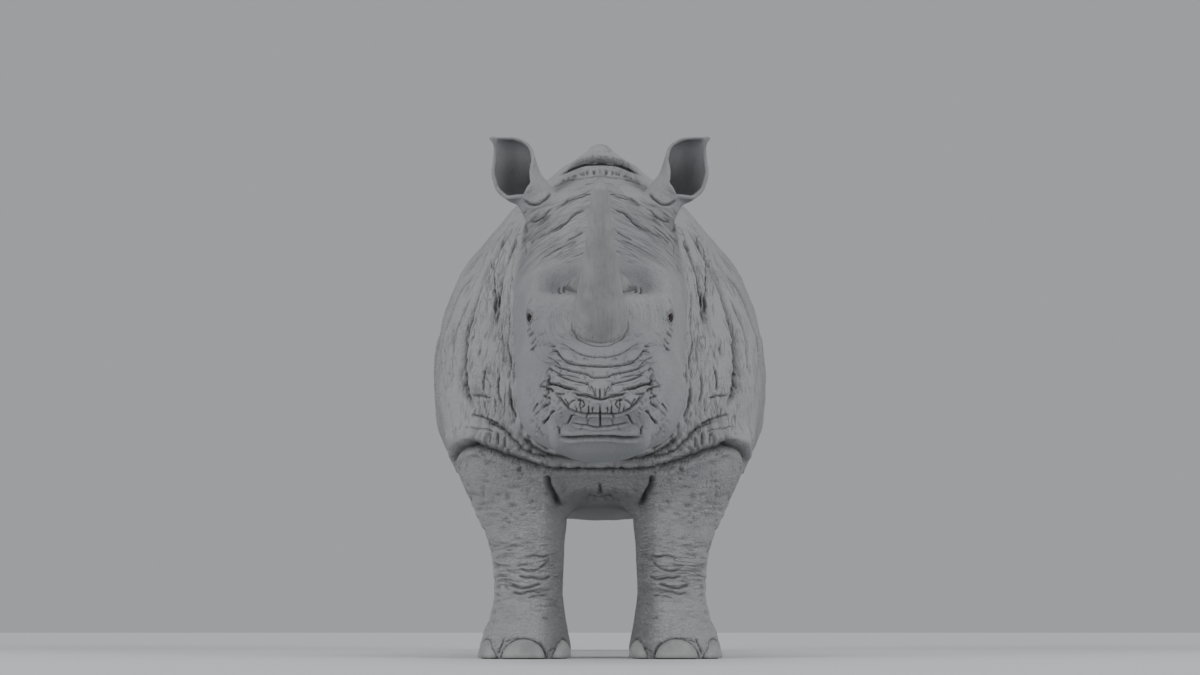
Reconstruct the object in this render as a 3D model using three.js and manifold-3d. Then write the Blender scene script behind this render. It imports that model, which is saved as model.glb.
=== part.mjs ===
// A white rhinoceros, life size, standing square on four feet with its head lowered.
// Millimetres. X runs to the animal's left, Y towards its tail and Z up; it faces -Y and stands on Z = 0.
//
// The body is one smooth field: a value below zero inside the flesh, above zero outside. Lofts and
// ellipsoids are blended into it, a net of faces is drawn round each region of it, and plane cuts
// part the regions. Horns, eyes and toenails are solids of their own, bedded into the flesh.
import * as THREE from "three";
import { ParametricGeometry } from "three/addons/geometries/ParametricGeometry.js";
import { mergeVertices } from "three/addons/utils/BufferGeometryUtils.js";
import Module from "manifold-3d";

const wasm = await Module();
wasm.setup();

// ---------------------------------------------------------------- driving dimensions
const GAP = 0.4; // clearance between neighbouring solids
const FAR = 4000; // half the size of a cutting block
const HUMP_HEIGHT = 1650; // top of the nuchal hump above the ground
const BELLY_CLEARANCE = 470; // lowest line of the chest and belly
const FORE_STANCE = 820; // fore feet ahead of the middle of the stance
const HIND_STANCE = 865; // hind feet behind it
const MUZZLE = { y: -1690, z: 630 }; // where the lips part, in the middle of the muzzle
const FACE_TILT = 56; // degrees between the face's long axis and the ground
const EYE = { x: 188, u: 405, v: -48, radius: 21 }; // across, up the face, out of it

// ---------------------------------------------------------------- field tools

const RAD = Math.PI / 180;
const constant = (v) => () => v;

// A smooth curve through [t, value] pairs that never overshoots them, flat beyond its ends.
function curve(pairs) {
  const last = pairs.length - 1;
  const slope = pairs.slice(1).map(([t, v], i) => (v - pairs[i][1]) / (t - pairs[i][0]));
  const tangent = pairs.map((_, i) => {
    const before = slope[Math.max(i - 1, 0)];
    const after = slope[Math.min(i, last - 1)];
    return before * after <= 0 ? 0 : (2 * before * after) / (before + after);
  });
  return (t) => {
    if (t <= pairs[0][0]) return pairs[0][1];
    if (t >= pairs[last][0]) return pairs[last][1];
    let i = 0;
    while (pairs[i + 1][0] < t) i++;
    const step = pairs[i + 1][0] - pairs[i][0];
    const s = (t - pairs[i][0]) / step;
    const hermite = [
      (1 + 2 * s) * (1 - s) ** 2,
      s * (1 - s) ** 2,
      s * s * (3 - 2 * s),
      s * s * (s - 1),
    ];
    return (
      hermite[0] * pairs[i][1] +
      hermite[1] * step * tangent[i] +
      hermite[2] * pairs[i + 1][1] +
      hermite[3] * step * tangent[i + 1]
    );
  };
}

// A frame in the Y-Z plane. u runs along its axis, v square to it, towards the animal's back or front.
function frameAt({ y, z }, tilt) {
  const c = Math.cos(tilt * RAD);
  const s = Math.sin(tilt * RAD);
  return {
    tilt,
    local: (py, pz) => [(py - y) * c + (pz - z) * s, (z - pz) * -c - (py - y) * s],
    world: (u, v) => [y + u * c - v * s, z + u * s + v * c],
  };
}
const LEVEL = frameAt({ y: 0, z: 0 }, 0); // u is Y, v is Z
const UPRIGHT = frameAt({ y: 0, z: 0 }, 90); // u is Z, v is -Y
const FACE = frameAt(MUZZLE, FACE_TILT); // u runs up the face from the lips, v out of the forehead

// A body lofted along a frame's axis. Each station is [u, upper v, v at its widest, lower v, x, half
// width]. Its ends close as domes of the lengths in caps. powers are those of the section's two halves
// along u: 2 is round, more than 2 is squarer and less than 2 is gabled.
function loft(frame, stations, caps, powers = [2, 2].map(constant)) {
  const [upper, middle, lower, offset, wide] = [1, 2, 3, 4, 5].map((column) =>
    curve(stations.map((row) => [row[0], row[column]])),
  );
  const first = stations[0][0];
  const last = stations[stations.length - 1][0];
  return (x, y, z) => {
    const [u, v] = frame.local(y, z);
    const rise = v - middle(u);
    const high = rise > 0 ? upper(u) - middle(u) : middle(u) - lower(u);
    const power = powers[rise > 0 ? 0 : 1](u);
    const across = Math.abs(x - offset(u)) / wide(u);
    const round = (across ** power + Math.abs(rise / high) ** power) ** (1 / power);
    const past = u < first ? (first - u) / caps[0] : u > last ? (u - last) / caps[1] : 0;
    return (Math.hypot(round, past) - 1) * Math.min(wide(u), high);
  };
}

// An ellipsoid centred at x and (u, v) of a frame. A power over 2 squares its corners.
function ellipsoid(frame, x, u, v, radii, power = 2) {
  return (px, py, pz) => {
    const [pu, pv] = frame.local(py, pz);
    const away = [px - x, pu - u, pv - v].map((d, i) => Math.abs(d / radii[i]) ** power);
    return ((away[0] + away[1] + away[2]) ** (1 / power) - 1) * Math.min(...radii);
  };
}

const blend = (a, b, reach) => {
  const near = Math.max(reach - Math.abs(a - b), 0) / reach;
  return Math.min(a, b) - (near * near * reach) / 4;
};
const carve = (a, b, reach) => -blend(-a, b, reach);

// ---------------------------------------------------------------- masses of the body

const trunk = loft(
  LEVEL,
  [
    // y, back, widest height, belly, x, half width
    [-900, 1340, 940, BELLY_CLEARANCE + 50, 0, 385],
    [-720, 1450, 920, BELLY_CLEARANCE, 0, 484],
    [-450, 1530, 920, BELLY_CLEARANCE - 6, 0, 538],
    [-150, 1543, 930, BELLY_CLEARANCE + 2, 0, 576],
    [150, 1535, 940, BELLY_CLEARANCE + 12, 0, 590],
    [420, 1553, 960, BELLY_CLEARANCE + 40, 0, 538],
    [650, 1570, 1000, BELLY_CLEARANCE + 105, 0, 440],
    [820, 1535, 1050, BELLY_CLEARANCE + 190, 0, 370],
  ],
  [150, 290],
  [curve([[-750, 1.9], [-250, 2.4], [500, 2.4], [800, 2.2]]), constant(2.3)],
);

const nuchalHump = loft(
  LEVEL,
  [
    [-1090, 1455, 1250, 1050, 0, 150],
    [-950, 1565, 1300, 1050, 0, 200],
    [-740, HUMP_HEIGHT + 4, 1350, 1100, 0, 252],
    [-520, HUMP_HEIGHT - 20, 1350, 1100, 0, 262],
    [-300, 1580, 1350, 1100, 0, 245],
  ],
  [70, 220],
  [1.4, 2].map(constant),
);

const neck = loft(
  LEVEL,
  [
    [-1150, 1395, 1120, 850, 0, 228],
    [-1000, 1430, 1060, 700, 0, 290],
    [-850, 1470, 990, 560, 0, 385],
  ],
  [90, 120],
);

const brisket = ellipsoid(LEVEL, 0, -900, 640, [230, 130, 165]);

const shoulder = loft(
  UPRIGHT,
  [
    [680, FORE_STANCE + 90, FORE_STANCE - 90, FORE_STANCE - 300, 300, 164],
    [950, FORE_STANCE + 85, FORE_STANCE - 110, FORE_STANCE - 320, 300, 182],
    [1150, FORE_STANCE + 30, FORE_STANCE - 150, FORE_STANCE - 330, 235, 165],
    [1330, FORE_STANCE - 40, FORE_STANCE - 190, FORE_STANCE - 330, 160, 130],
  ],
  [180, 160],
);

const foreleg = loft(
  UPRIGHT,
  [
    // height, front, middle, back, x, half width
    [0, FORE_STANCE + 145, FORE_STANCE, FORE_STANCE - 140, 228, 144],
    [60, FORE_STANCE + 138, FORE_STANCE, FORE_STANCE - 135, 227, 138],
    [120, FORE_STANCE + 112, FORE_STANCE - 5, FORE_STANCE - 115, 222, 117],
    [190, FORE_STANCE + 88, FORE_STANCE - 10, FORE_STANCE - 108, 220, 106],
    [270, FORE_STANCE + 87, FORE_STANCE - 15, FORE_STANCE - 115, 221, 110],
    [350, FORE_STANCE + 94, FORE_STANCE - 15, FORE_STANCE - 125, 226, 118],
    [430, FORE_STANCE + 104, FORE_STANCE - 25, FORE_STANCE - 155, 245, 137],
    [520, FORE_STANCE + 118, FORE_STANCE - 30, FORE_STANCE - 200, 264, 150],
    [640, FORE_STANCE + 128, FORE_STANCE - 40, FORE_STANCE - 260, 284, 160],
    [780, FORE_STANCE + 115, FORE_STANCE - 60, FORE_STANCE - 290, 302, 168],
  ],
  [60, 200],
  [2.3, 2.3].map(constant),
);

const hindleg = loft(
  UPRIGHT,
  [
    [0, 130 - HIND_STANCE, -HIND_STANCE, -HIND_STANCE - 125, 272, 121],
    [60, 122 - HIND_STANCE, -HIND_STANCE, -HIND_STANCE - 120, 270, 117],
    [120, 98 - HIND_STANCE, -HIND_STANCE - 5, -HIND_STANCE - 110, 266, 102],
    [200, 75 - HIND_STANCE, -HIND_STANCE - 15, -HIND_STANCE - 110, 264, 90],
    [300, 70 - HIND_STANCE, -HIND_STANCE - 25, -HIND_STANCE - 125, 264, 90],
    [400, 85 - HIND_STANCE, -HIND_STANCE - 30, -HIND_STANCE - 150, 268, 95],
    [480, 120 - HIND_STANCE, -HIND_STANCE - 25, -HIND_STANCE - 168, 272, 102],
    [560, 165 - HIND_STANCE, 10 - HIND_STANCE, -HIND_STANCE - 152, 278, 115],
    [660, 225 - HIND_STANCE, 45 - HIND_STANCE, -HIND_STANCE - 138, 288, 138],
    [780, 285 - HIND_STANCE, 65 - HIND_STANCE, -HIND_STANCE - 165, 302, 165],
    [950, 310 - HIND_STANCE, 65 - HIND_STANCE, -HIND_STANCE - 190, 305, 185],
    [1150, 280 - HIND_STANCE, 65 - HIND_STANCE, -HIND_STANCE - 160, 280, 180],
  ],
  [60, 260],
  [2.2, 2.2].map(constant),
);

const hip = ellipsoid(LEVEL, 250, 640, 1330, [170, 230, 200]);
const thigh = ellipsoid(LEVEL, 330, 760, 930, [158, 225, 330]);
const shoulderBlade = ellipsoid(LEVEL, 365, -560, 950, [146, 190, 320]);

// ---------------------------------------------------------------- masses of the head

const skull = loft(
  FACE,
  [
    // u, forehead, widest depth, palate, x, half width
    [20, 50, -20, -90, 0, 106],
    [90, 94, -30, -140, 0, 134],
    [170, 110, -50, -190, 0, 144],
    [260, 94, -70, -220, 0, 149],
    [340, 68, -90, -250, 0, 163],
    [430, 44, -100, -270, 0, 184],
    [530, 33, -110, -290, 0, 203],
    [650, 38, -130, -310, 0, 212],
    [770, 45, -140, -320, 0, 204],
    [860, 30, -140, -300, 0, 176],
  ],
  [40, 85],
  [2.5, 2.3].map(constant),
);

const lowerJaw = loft(
  FACE,
  [
    [10, -50, -105, -176, 0, 98],
    [100, -90, -160, -240, 0, 140],
    [200, -110, -215, -326, 0, 212],
    [330, -130, -245, -374, 0, 238],
    [480, -150, -250, -385, 0, 232],
    [600, -160, -250, -375, 0, 212],
  ],
  [45, 90],
  [2.4, 3.2].map(constant),
);

const upperLip = ellipsoid(FACE, 0, 42, 22, [114, 58, 62], 3.2);
const lowerLip = ellipsoid(FACE, 0, 18, -78, [104, 52, 44], 3.6);
const cheek = ellipsoid(FACE, 128, 590, -195, [112, 190, 150]);
const jowl = ellipsoid(FACE, 112, 285, -145, [96, 185, 100]);
const brow = ellipsoid(FACE, 150, 478, -15, [52, 84, 42]);
const earRoot = ellipsoid(FACE, 172, 838, -45, [60, 66, 66]);
const nostril = ellipsoid(FACE, 142, 105, 30, [24, 18, 34]);

function bodyField(px, y, z) {
  const x = Math.abs(px);
  let head = blend(skull(x, y, z), lowerJaw(x, y, z), 50);
  head = blend(head, cheek(x, y, z), 70);
  head = blend(head, jowl(x, y, z), 70);
  head = blend(head, brow(x, y, z), 40);
  head = blend(head, earRoot(x, y, z), 50);
  head = blend(head, upperLip(x, y, z), 40);
  head = blend(head, lowerLip(x, y, z), 24);
  head = carve(head, nostril(x, y, z), 14);
  let body = blend(trunk(x, y, z), nuchalHump(x, y, z), 170);
  body = blend(body, neck(x, y, z), 130);
  body = blend(body, brisket(x, y, z), 90);
  body = blend(body, shoulder(x, y, z), 90);
  body = blend(body, shoulderBlade(x, y, z), 90);
  body = blend(body, hip(x, y, z), 120);
  body = blend(body, thigh(x, y, z), 80);
  body = blend(body, foreleg(x, y, z), 70);
  body = blend(body, hindleg(x, y, z), 90);
  return blend(body, head, 70);
}

// ---------------------------------------------------------------- from field to solid

// Draws a closed net of quads round the part of the field inside a box, given by its low and high corners.
// The box reaches past the cuts that trim the net, so how the net closes at its walls never shows.
function netRound(field, low, high, cell) {
  const count = low.map((a, i) => Math.ceil((high[i] - a) / cell[i]) + 1);
  const [nx, ny, nz] = count;
  const at = (i, j, k) => (k * ny + j) * nx + i;
  const value = new Float32Array(nx * ny * nz);
  for (let k = 0; k < nz; k++)
    for (let j = 0; j < ny; j++)
      for (let i = 0; i < nx; i++) {
        const wall = [i, j, k].some((n, axis) => n === 0 || n === count[axis] - 1);
        const place = [i, j, k].map((n, axis) => low[axis] + n * cell[axis]);
        value[at(i, j, k)] = wall ? cell[0] : field(...place);
      }
  const corners = [0, 1, 2, 3, 4, 5, 6, 7].map((n) => [n & 1, (n >> 1) & 1, n >> 2]);
  const edges = corners.flatMap((a, m) =>
    [1, 2, 4].filter((bit) => !(m & bit)).map((bit) => [a, corners[m | bit]]),
  );
  const vertexOf = new Int32Array(nx * ny * nz).fill(-1);
  const positions = [];
  for (let k = 0; k < nz - 1; k++)
    for (let j = 0; j < ny - 1; j++)
      for (let i = 0; i < nx - 1; i++) {
        const crossings = [];
        for (const [a, b] of edges) {
          const va = value[at(i + a[0], j + a[1], k + a[2])];
          const vb = value[at(i + b[0], j + b[1], k + b[2])];
          if (va < 0 === vb < 0) continue;
          const t = va / (va - vb);
          crossings.push(a.map((c, axis) => c + t * (b[axis] - c)));
        }
        if (!crossings.length) continue;
        vertexOf[at(i, j, k)] = positions.length;
        const middle = [0, 1, 2].map((axis) => mean(crossings.map((c) => c[axis])));
        const rough = [i, j, k].map((n, axis) => low[axis] + (n + middle[axis]) * cell[axis]);
        positions.push(settle(rough, field, Math.min(...cell) / 2));
      }
  const index = [];
  const steps = [at(1, 0, 0), at(0, 1, 0), at(0, 0, 1)];
  for (let k = 0; k < nz - 1; k++)
    for (let j = 0; j < ny - 1; j++)
      for (let i = 0; i < nx - 1; i++)
        steps.forEach((step, axis) => {
          const here = at(i, j, k);
          const inside = value[here] < 0;
          if (inside === value[here + step] < 0) return;
          const [p, q] = [steps[(axis + 1) % 3], steps[(axis + 2) % 3]];
          const ring = [here - p - q, here - q, here, here - p].map((n) => vertexOf[n]);
          if (!inside) ring.reverse();
          const [a, b, c, d] = ring;
          const across = distance(positions[a], positions[c]) <= distance(positions[b], positions[d]);
          index.push(...(across ? [a, b, c, a, c, d] : [b, c, d, b, d, a]));
        });
  return new THREE.BufferGeometry()
    .setAttribute("position", new THREE.Float32BufferAttribute(positions.flat(), 3))
    .setIndex(index);
}

const mean = (list) => list.reduce((sum, v) => sum + v, 0) / list.length;
const distance = (a, b) => Math.hypot(a[0] - b[0], a[1] - b[1], a[2] - b[2]);

// Moves a point onto the field's zero surface, unless that is further away than reach.
function settle(from, field, reach) {
  let p = from;
  for (let pass = 0; pass < 4; pass++) {
    const f = field(...p);
    const slope = [0, 1, 2].map((axis) => field(...p.map((c, n) => c + (n === axis ? 1 : 0))) - f);
    const steep = slope[0] ** 2 + slope[1] ** 2 + slope[2] ** 2;
    p = p.map((c, axis) => c - (f * slope[axis]) / Math.max(steep, 0.05));
  }
  return distance(p, from) < reach ? p : from;
}

// ---------------------------------------------------------------- solids

function solidOf(geometry) {
  const bare = geometry.clone();
  bare.deleteAttribute("normal");
  bare.deleteAttribute("uv");
  const merged = mergeVertices(bare, 1e-3);
  const triVerts = [];
  for (let i = 0; i < merged.index.count; i += 3) {
    const [a, b, c] = [0, 1, 2].map((n) => merged.index.getX(i + n));
    if (a !== b && b !== c && c !== a) triVerts.push(a, b, c);
  }
  return new wasm.Manifold(
    new wasm.Mesh({
      numProp: 3,
      vertProperties: merged.attributes.position.array,
      triVerts: new Uint32Array(triVerts),
    }),
  );
}

function geometryOf(solid) {
  const made = solid.getMesh();
  return new THREE.BufferGeometry()
    .setAttribute("position", new THREE.Float32BufferAttribute(made.vertProperties, 3))
    .setIndex([...made.triVerts])
    .toNonIndexed();
}

// All space on the side of a plane that its normal points away from.
function behindPlane(point, normal) {
  const block = new THREE.BoxGeometry(2 * FAR, 2 * FAR, 2 * FAR).translate(0, 0, -FAR);
  const turn = new THREE.Quaternion().setFromUnitVectors(new THREE.Vector3(0, 0, 1), normal);
  return solidOf(block.applyQuaternion(turn).translate(...point));
}

// Keeps what lies behind every one of these planes, each moved back by half a gap or another clearance.
function within(solid, planes, clearance = GAP / 2) {
  return planes.reduce((kept, [point, normal]) => {
    const n = new THREE.Vector3(...normal).normalize();
    const moved = new THREE.Vector3(...point).addScaledVector(n, -clearance);
    return kept.intersect(behindPlane(moved.toArray(), n));
  }, solid);
}

const opposite = ([point, normal]) => [point, normal.map((n) => -n)];
const onSide = (sign, [point, normal]) => [
  [sign * point[0], point[1], point[2]],
  [sign * normal[0], normal[1], normal[2]],
];

// A closed skin over rings of points: ringAt(t) gives a ring's points for t from 0 to 1 along the solid,
// and the ends are closed by fans of triangles.
function ringed(stops, sides, ringAt) {
  const surface = new ParametricGeometry(
    (a, b, target) => {
      const row = Math.round(a * (stops.length + 1)) - 1;
      const end = row < 0 || row === stops.length;
      const t = stops[Math.min(Math.max(row, 0), stops.length - 1)];
      const ring = ringAt(t);
      target.copy(end ? middleOf(ring, sides) : ring(b % 1));
    },
    stops.length + 1,
    sides,
  );
  const made = solidOf(surface);
  return made.volume() > 0 ? made : solidOf(insideOut(surface));
}

function middleOf(ring, sides) {
  const sum = new THREE.Vector3();
  for (let n = 0; n < sides; n++) sum.add(ring(n / sides));
  return sum.divideScalar(sides);
}

function insideOut(geometry) {
  const index = geometry.index.array;
  for (let i = 0; i < index.length; i += 3) [index[i], index[i + 1]] = [index[i + 1], index[i]];
  return geometry;
}

// ---------------------------------------------------------------- eyes, horns, ears and toenails

function eyeball(sign, grow) {
  const [y, z] = FACE.world(EYE.u, EYE.v);
  return solidOf(new THREE.SphereGeometry(EYE.radius + grow, 9, 6).translate(sign * EYE.x, y, z));
}

// A horn or tail swept along a curve in the Y-Z plane, with oval rings square to it.
function swept({ path, wide, deep, stops }, grow) {
  const spine = new THREE.CubicBezierCurve3(...path.map(([y, z]) => new THREE.Vector3(0, y, z)));
  return ringed(stops, 14, (t) => {
    const along = spine.getTangentAt(t);
    const centre = spine.getPointAt(t).addScaledVector(along, t === 0 ? -grow : 0);
    return (b) => {
      const x = (wide(t) + grow) * Math.cos(b * 2 * Math.PI);
      const front = (deep(t) + grow) * Math.sin(b * 2 * Math.PI);
      return new THREE.Vector3(x, centre.y - front * along.z, centre.z + front * along.y);
    };
  });
}

const FRONT_HORN = {
  path: [FACE.world(264, 32), FACE.world(236, 220), FACE.world(252, 400), FACE.world(318, 536)],
  wide: curve([[0, 80], [0.12, 76], [0.3, 62], [0.55, 44], [0.85, 28], [0.95, 21], [1, 7]]),
  deep: curve([[0, 104], [0.12, 96], [0.3, 76], [0.55, 52], [0.85, 31], [0.95, 23], [1, 8]]),
  stops: [0, 0.1, 0.2, 0.32, 0.46, 0.6, 0.74, 0.87, 0.95, 0.985, 1],
};
const REAR_HORN = {
  path: [FACE.world(476, -20), FACE.world(466, 70), FACE.world(466, 140), FACE.world(482, 208)],
  wide: curve([[0, 110], [0.22, 102], [0.38, 72], [0.55, 48], [0.8, 27], [1, 9]]),
  deep: curve([[0, 100], [0.22, 94], [0.38, 74], [0.55, 52], [0.8, 30], [1, 10]]),
  stops: [0, 0.2, 0.3, 0.4, 0.55, 0.7, 0.85, 0.95, 1],
};

const TAIL = {
  path: [[1000, 1330], [1178, 1345], [1166, 1080], [1168, 700]],
  wide: curve([[0, 62], [0.15, 56], [0.35, 42], [0.6, 30], [0.85, 22], [0.95, 24], [1, 12]]),
  deep: curve([[0, 62], [0.15, 50], [0.35, 34], [0.6, 25], [0.85, 19], [0.95, 22], [1, 12]]),
  stops: [0, 0.1, 0.2, 0.32, 0.45, 0.6, 0.75, 0.88, 0.96, 1],
};

// An ear: a cupped leaf on a stalk. Its wall goes out along the back of the cup and home along the inside.
const EAR = { thick: 11, length: 300, root: [176, 792, -60], out: 20, back: 4, opening: 8 };
EAR.radius = curve([[0, 50], [0.15, 55], [0.35, 75], [0.55, 81], [0.78, 73], [0.92, 48], [1, 12]]);
EAR.wrap = curve([[0, 175], [0.25, 168], [0.38, 135], [0.6, 105], [0.85, 85], [1, 70]]);
EAR.sway = curve([[0, 0], [0.4, -4], [0.75, 2], [0.92, 24], [1, 46]]);
EAR.stops = [0, 0.14, 0.28, 0.42, 0.58, 0.76, 0.9, 1];

// sunk lowers its foot. sectionAt gives, for t along the ear, the radius and the angle from its back at b
// round it.
function earBody(sign, sunk, sectionAt) {
  const [y, z] = FACE.world(EAR.root[1], EAR.root[2]);
  const root = new THREE.Vector3(EAR.root[0], y, z);
  const axis = new THREE.Vector3(Math.sin(EAR.out * RAD), Math.sin(EAR.back * RAD), 1).normalize();
  const open = new THREE.Vector3(Math.sin(EAR.opening * RAD), -Math.cos(EAR.opening * RAD), 0);
  open.addScaledVector(axis, -open.dot(axis)).normalize();
  const across = new THREE.Vector3().crossVectors(axis, open);
  return ringed(EAR.stops, 16, (t) => {
    const centre = root.clone().addScaledVector(axis, t === 0 ? -sunk : t * EAR.length);
    centre.x += EAR.sway(t);
    return (b) => {
      const [radius, turn] = sectionAt(t, b);
      const point = centre.clone().addScaledVector(open, -radius * Math.cos(turn));
      point.addScaledVector(across, radius * Math.sin(turn));
      return point.setX(sign * point.x);
    };
  });
}

const ear = (sign) =>
  earBody(sign, 0, (t, b) => {
    const inner = t < 0.15 ? 2 : EAR.radius(t) - EAR.thick;
    const turn = (b < 0.5 ? 4 * b - 1 : 3 - 4 * b) * EAR.wrap(t) * RAD;
    return [b < 0.5 ? EAR.radius(t) : inner, turn];
  });

// The hole an ear stands in: round all the way, so that the head leaves the cup of the ear empty. Its
// sides are flat between fewer corners than a circle has, and the extra room keeps them off the ear.
const EAR_ROOM = 4 * GAP;
const earBed = (sign) => earBody(sign, GAP, (t, b) => [EAR.radius(t) + EAR_ROOM, 2 * Math.PI * b]);

// A toenail: the front of an ellipsoid sunk in the rim of the foot, at an angle round it from the toe.
const NAILS = [["inner", -56, 46], ["middle", 0, 60], ["outer", 56, 46]];
const NAIL = { depth: 24, height: 58, inset: 0.9, clear: 3 };

function nail(foot, turn, width, grow) {
  const a = turn * RAD;
  const x = foot.x + foot.wide * NAIL.inset * Math.sin(a);
  const y = foot.y - foot.front * NAIL.inset * Math.cos(a);
  const ball = new THREE.SphereGeometry(1, 8, 6);
  ball.scale(width + grow, NAIL.depth + grow, NAIL.height + grow);
  const placed = solidOf(ball.rotateZ(a).translate(x, y, 0));
  return grow > 0 ? placed : within(placed, [[[0, 0, NAIL.clear], [0, 0, -1]]], 0);
}

// ---------------------------------------------------------------- where the body is parted

const faceNormal = ([u, v]) => [0, ...FACE.world(u, v).map((c, n) => c - FACE.world(0, 0)[n])];
const GROUND = [[0, 0, -GAP / 2], [0, 0, -1]];
const NAPE = [[0, -1095, 1150], [0, -1, 0.04]]; // head in front, neck behind
const NECK_BASE = [[0, -900, 1100], [0, -1, 0.4]]; // neck in front, trunk behind
const LIPS = [[0, ...FACE.world(0, -34)], faceNormal([0, -1])]; // jaw in front, muzzle behind
const CHEEK = [[0, ...FACE.world(290, 0)], faceNormal([-1, 0])]; // muzzle in front, head behind
const FORELEG = [
  [[62, 0, 0], [-1, 0, 0.1]],
  [[300, -FORE_STANCE, 600], [-0.15, -0.1, 1]],
  [[0, -FORE_STANCE + 290, 600], [0, 1, 0]],
];
const HINDLEG = [
  [[118, 0, 0], [-1, 0, 0]],
  [[300, HIND_STANCE, 690], [-0.3, 0.25, 1]],
  [[0, HIND_STANCE - 330, 600], [0, -1, 0]],
];

// ---------------------------------------------------------------- the animal

const skin = { color: 0x85858a, roughness: 0.85 };
const hornStuff = { color: 0x6d675f, roughness: 0.6 };
const nailStuff = { color: 0x8d8578, roughness: 0.6 };
const eyeStuff = { color: 0x1d130c, roughness: 0.1 };
const animal = new THREE.Group();

function add(name, solid, { color, roughness }) {
  const material = new THREE.MeshStandardMaterial({ color, roughness, metalness: 0 });
  const mesh = new THREE.Mesh(geometryOf(solid), material);
  mesh.name = name;
  animal.add(mesh);
}

const SIDES = [["left", 1], ["right", -1]];

function mirrorImage(solid) {
  const geometry = mergeVertices(geometryOf(solid), 1e-4).scale(-1, 1, 1);
  return solidOf(insideOut(geometry));
}

// The flesh in a stretch of Y and Z, as wide as the whole body there, in cells of this size.
function flesh([front, back], [low, high], cell, halfWidth = 630) {
  const side = Math.ceil(halfWidth / cell[0]) * cell[0];
  return solidOf(netRound(bodyField, [-side, front, low], [side, back, high], cell));
}

// Head, muzzle and jaw, with beds for the horns, ears and eyes.
const beds = [
  swept(FRONT_HORN, GAP),
  swept(REAR_HORN, GAP),
  ...SIDES.flatMap(([, sign]) => [eyeball(sign, GAP), earBed(sign)]),
];
const bedded = (solid) => beds.reduce((kept, bed) => kept.subtract(bed), solid);
const cranium = flesh([-1720, -1000], [560, 1600], [56, 56, 56], 330);
const face = flesh([-1800, -1150], [480, 1050], [36, 36, 36], 280);
add("head", bedded(within(cranium, [opposite(NAPE), CHEEK])), skin);
add("muzzle", bedded(within(face, [opposite(CHEEK), LIPS])), skin);
add("jaw", within(face, [opposite(CHEEK), opposite(LIPS)]), skin);
add("horn_front", swept(FRONT_HORN, 0), hornStuff);
add("horn_rear", swept(REAR_HORN, 0), hornStuff);
for (const [side, sign] of SIDES) {
  add(`eye_${side}`, eyeball(sign, 0), eyeStuff);
  add(`ear_${side}`, ear(sign), skin);
}

// Neck and tail.
const scruff = flesh([-1300, -650], [350, 1850], [84, 84, 84]);
add("neck", within(scruff, [NAPE, opposite(NECK_BASE)]), skin);
add("tail", swept(TAIL, 0), skin);

// Legs with three toenails each, made for the left and mirrored, and the trunk they are cut from.
const FOREFOOT = { x: 228, y: -FORE_STANCE, wide: 144, front: 145 };
const HINDFOOT = { x: 272, y: HIND_STANCE, wide: 121, front: 130 };
const space = solidOf(new THREE.BoxGeometry(2 * FAR, 2 * FAR, 2 * FAR));
const barrel = flesh([-1080, 1330], [330, 1850], [104, 130, 104]);
let trunkSolid = within(barrel, [NECK_BASE]).subtract(swept(TAIL, GAP));
for (const [name, cuts, front, back, foot] of [
  ["foreleg", FORELEG, -1200, -400, FOREFOOT],
  ["hindleg", HINDLEG, 400, 1250, HINDFOOT],
]) {
  const net = solidOf(netRound(bodyField, [0, front, -90], [660, back, 900], [68, 68, 80]));
  const nails = NAILS.map(([toe, turn, width]) => [toe, (grow) => nail(foot, turn, width, grow)]);
  const limb = within(net, [...cuts, GROUND]);
  const leg = nails.reduce((kept, [, made]) => kept.subtract(made(GAP)), limb);
  for (const [side, sign] of SIDES) {
    const handed = (solid) => (sign > 0 ? solid : mirrorImage(solid));
    const block = within(space, cuts.map((plane) => onSide(sign, plane)), -GAP / 2);
    trunkSolid = trunkSolid.subtract(block);
    add(`${name}_${side}`, handed(leg), skin);
    for (const [toe, made] of nails) add(`nail_${name}_${toe}_${side}`, handed(made(0)), nailStuff);
  }
}
add("trunk", trunkSolid, skin);

const box = new THREE.Box3().setFromObject(animal);
animal.position.set(0, -(box.min.y + box.max.y) / 2, 0);

export default animal;
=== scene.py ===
import math
from itertools import product

import bmesh
import bpy
import numpy as np
from mathutils import Matrix, Vector
from mathutils.bvhtree import BVHTree
from mathutils.geometry import interpolate_bezier


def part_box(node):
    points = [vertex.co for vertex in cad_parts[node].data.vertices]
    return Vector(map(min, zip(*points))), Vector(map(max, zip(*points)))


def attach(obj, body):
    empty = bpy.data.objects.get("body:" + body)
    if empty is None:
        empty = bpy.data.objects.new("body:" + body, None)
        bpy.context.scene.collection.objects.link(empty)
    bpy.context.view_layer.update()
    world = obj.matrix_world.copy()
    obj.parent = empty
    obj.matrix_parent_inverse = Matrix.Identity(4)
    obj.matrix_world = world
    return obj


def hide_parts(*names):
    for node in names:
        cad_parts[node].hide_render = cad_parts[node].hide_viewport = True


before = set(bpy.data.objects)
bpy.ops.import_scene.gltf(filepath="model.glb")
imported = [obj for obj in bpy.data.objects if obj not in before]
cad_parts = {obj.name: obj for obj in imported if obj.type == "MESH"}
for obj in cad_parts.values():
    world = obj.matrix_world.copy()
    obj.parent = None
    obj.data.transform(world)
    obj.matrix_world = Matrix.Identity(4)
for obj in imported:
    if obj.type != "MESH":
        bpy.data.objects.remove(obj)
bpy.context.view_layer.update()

# ---- The carcass under the hide ------------------------------------------------------------------
# The flesh of head, neck, trunk, tail and legs is one mass in life. Copies of the solids are swollen
# into each other, joined, and relaxed until no flat or cut shows; weight keeps the face and feet crisp.

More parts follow.
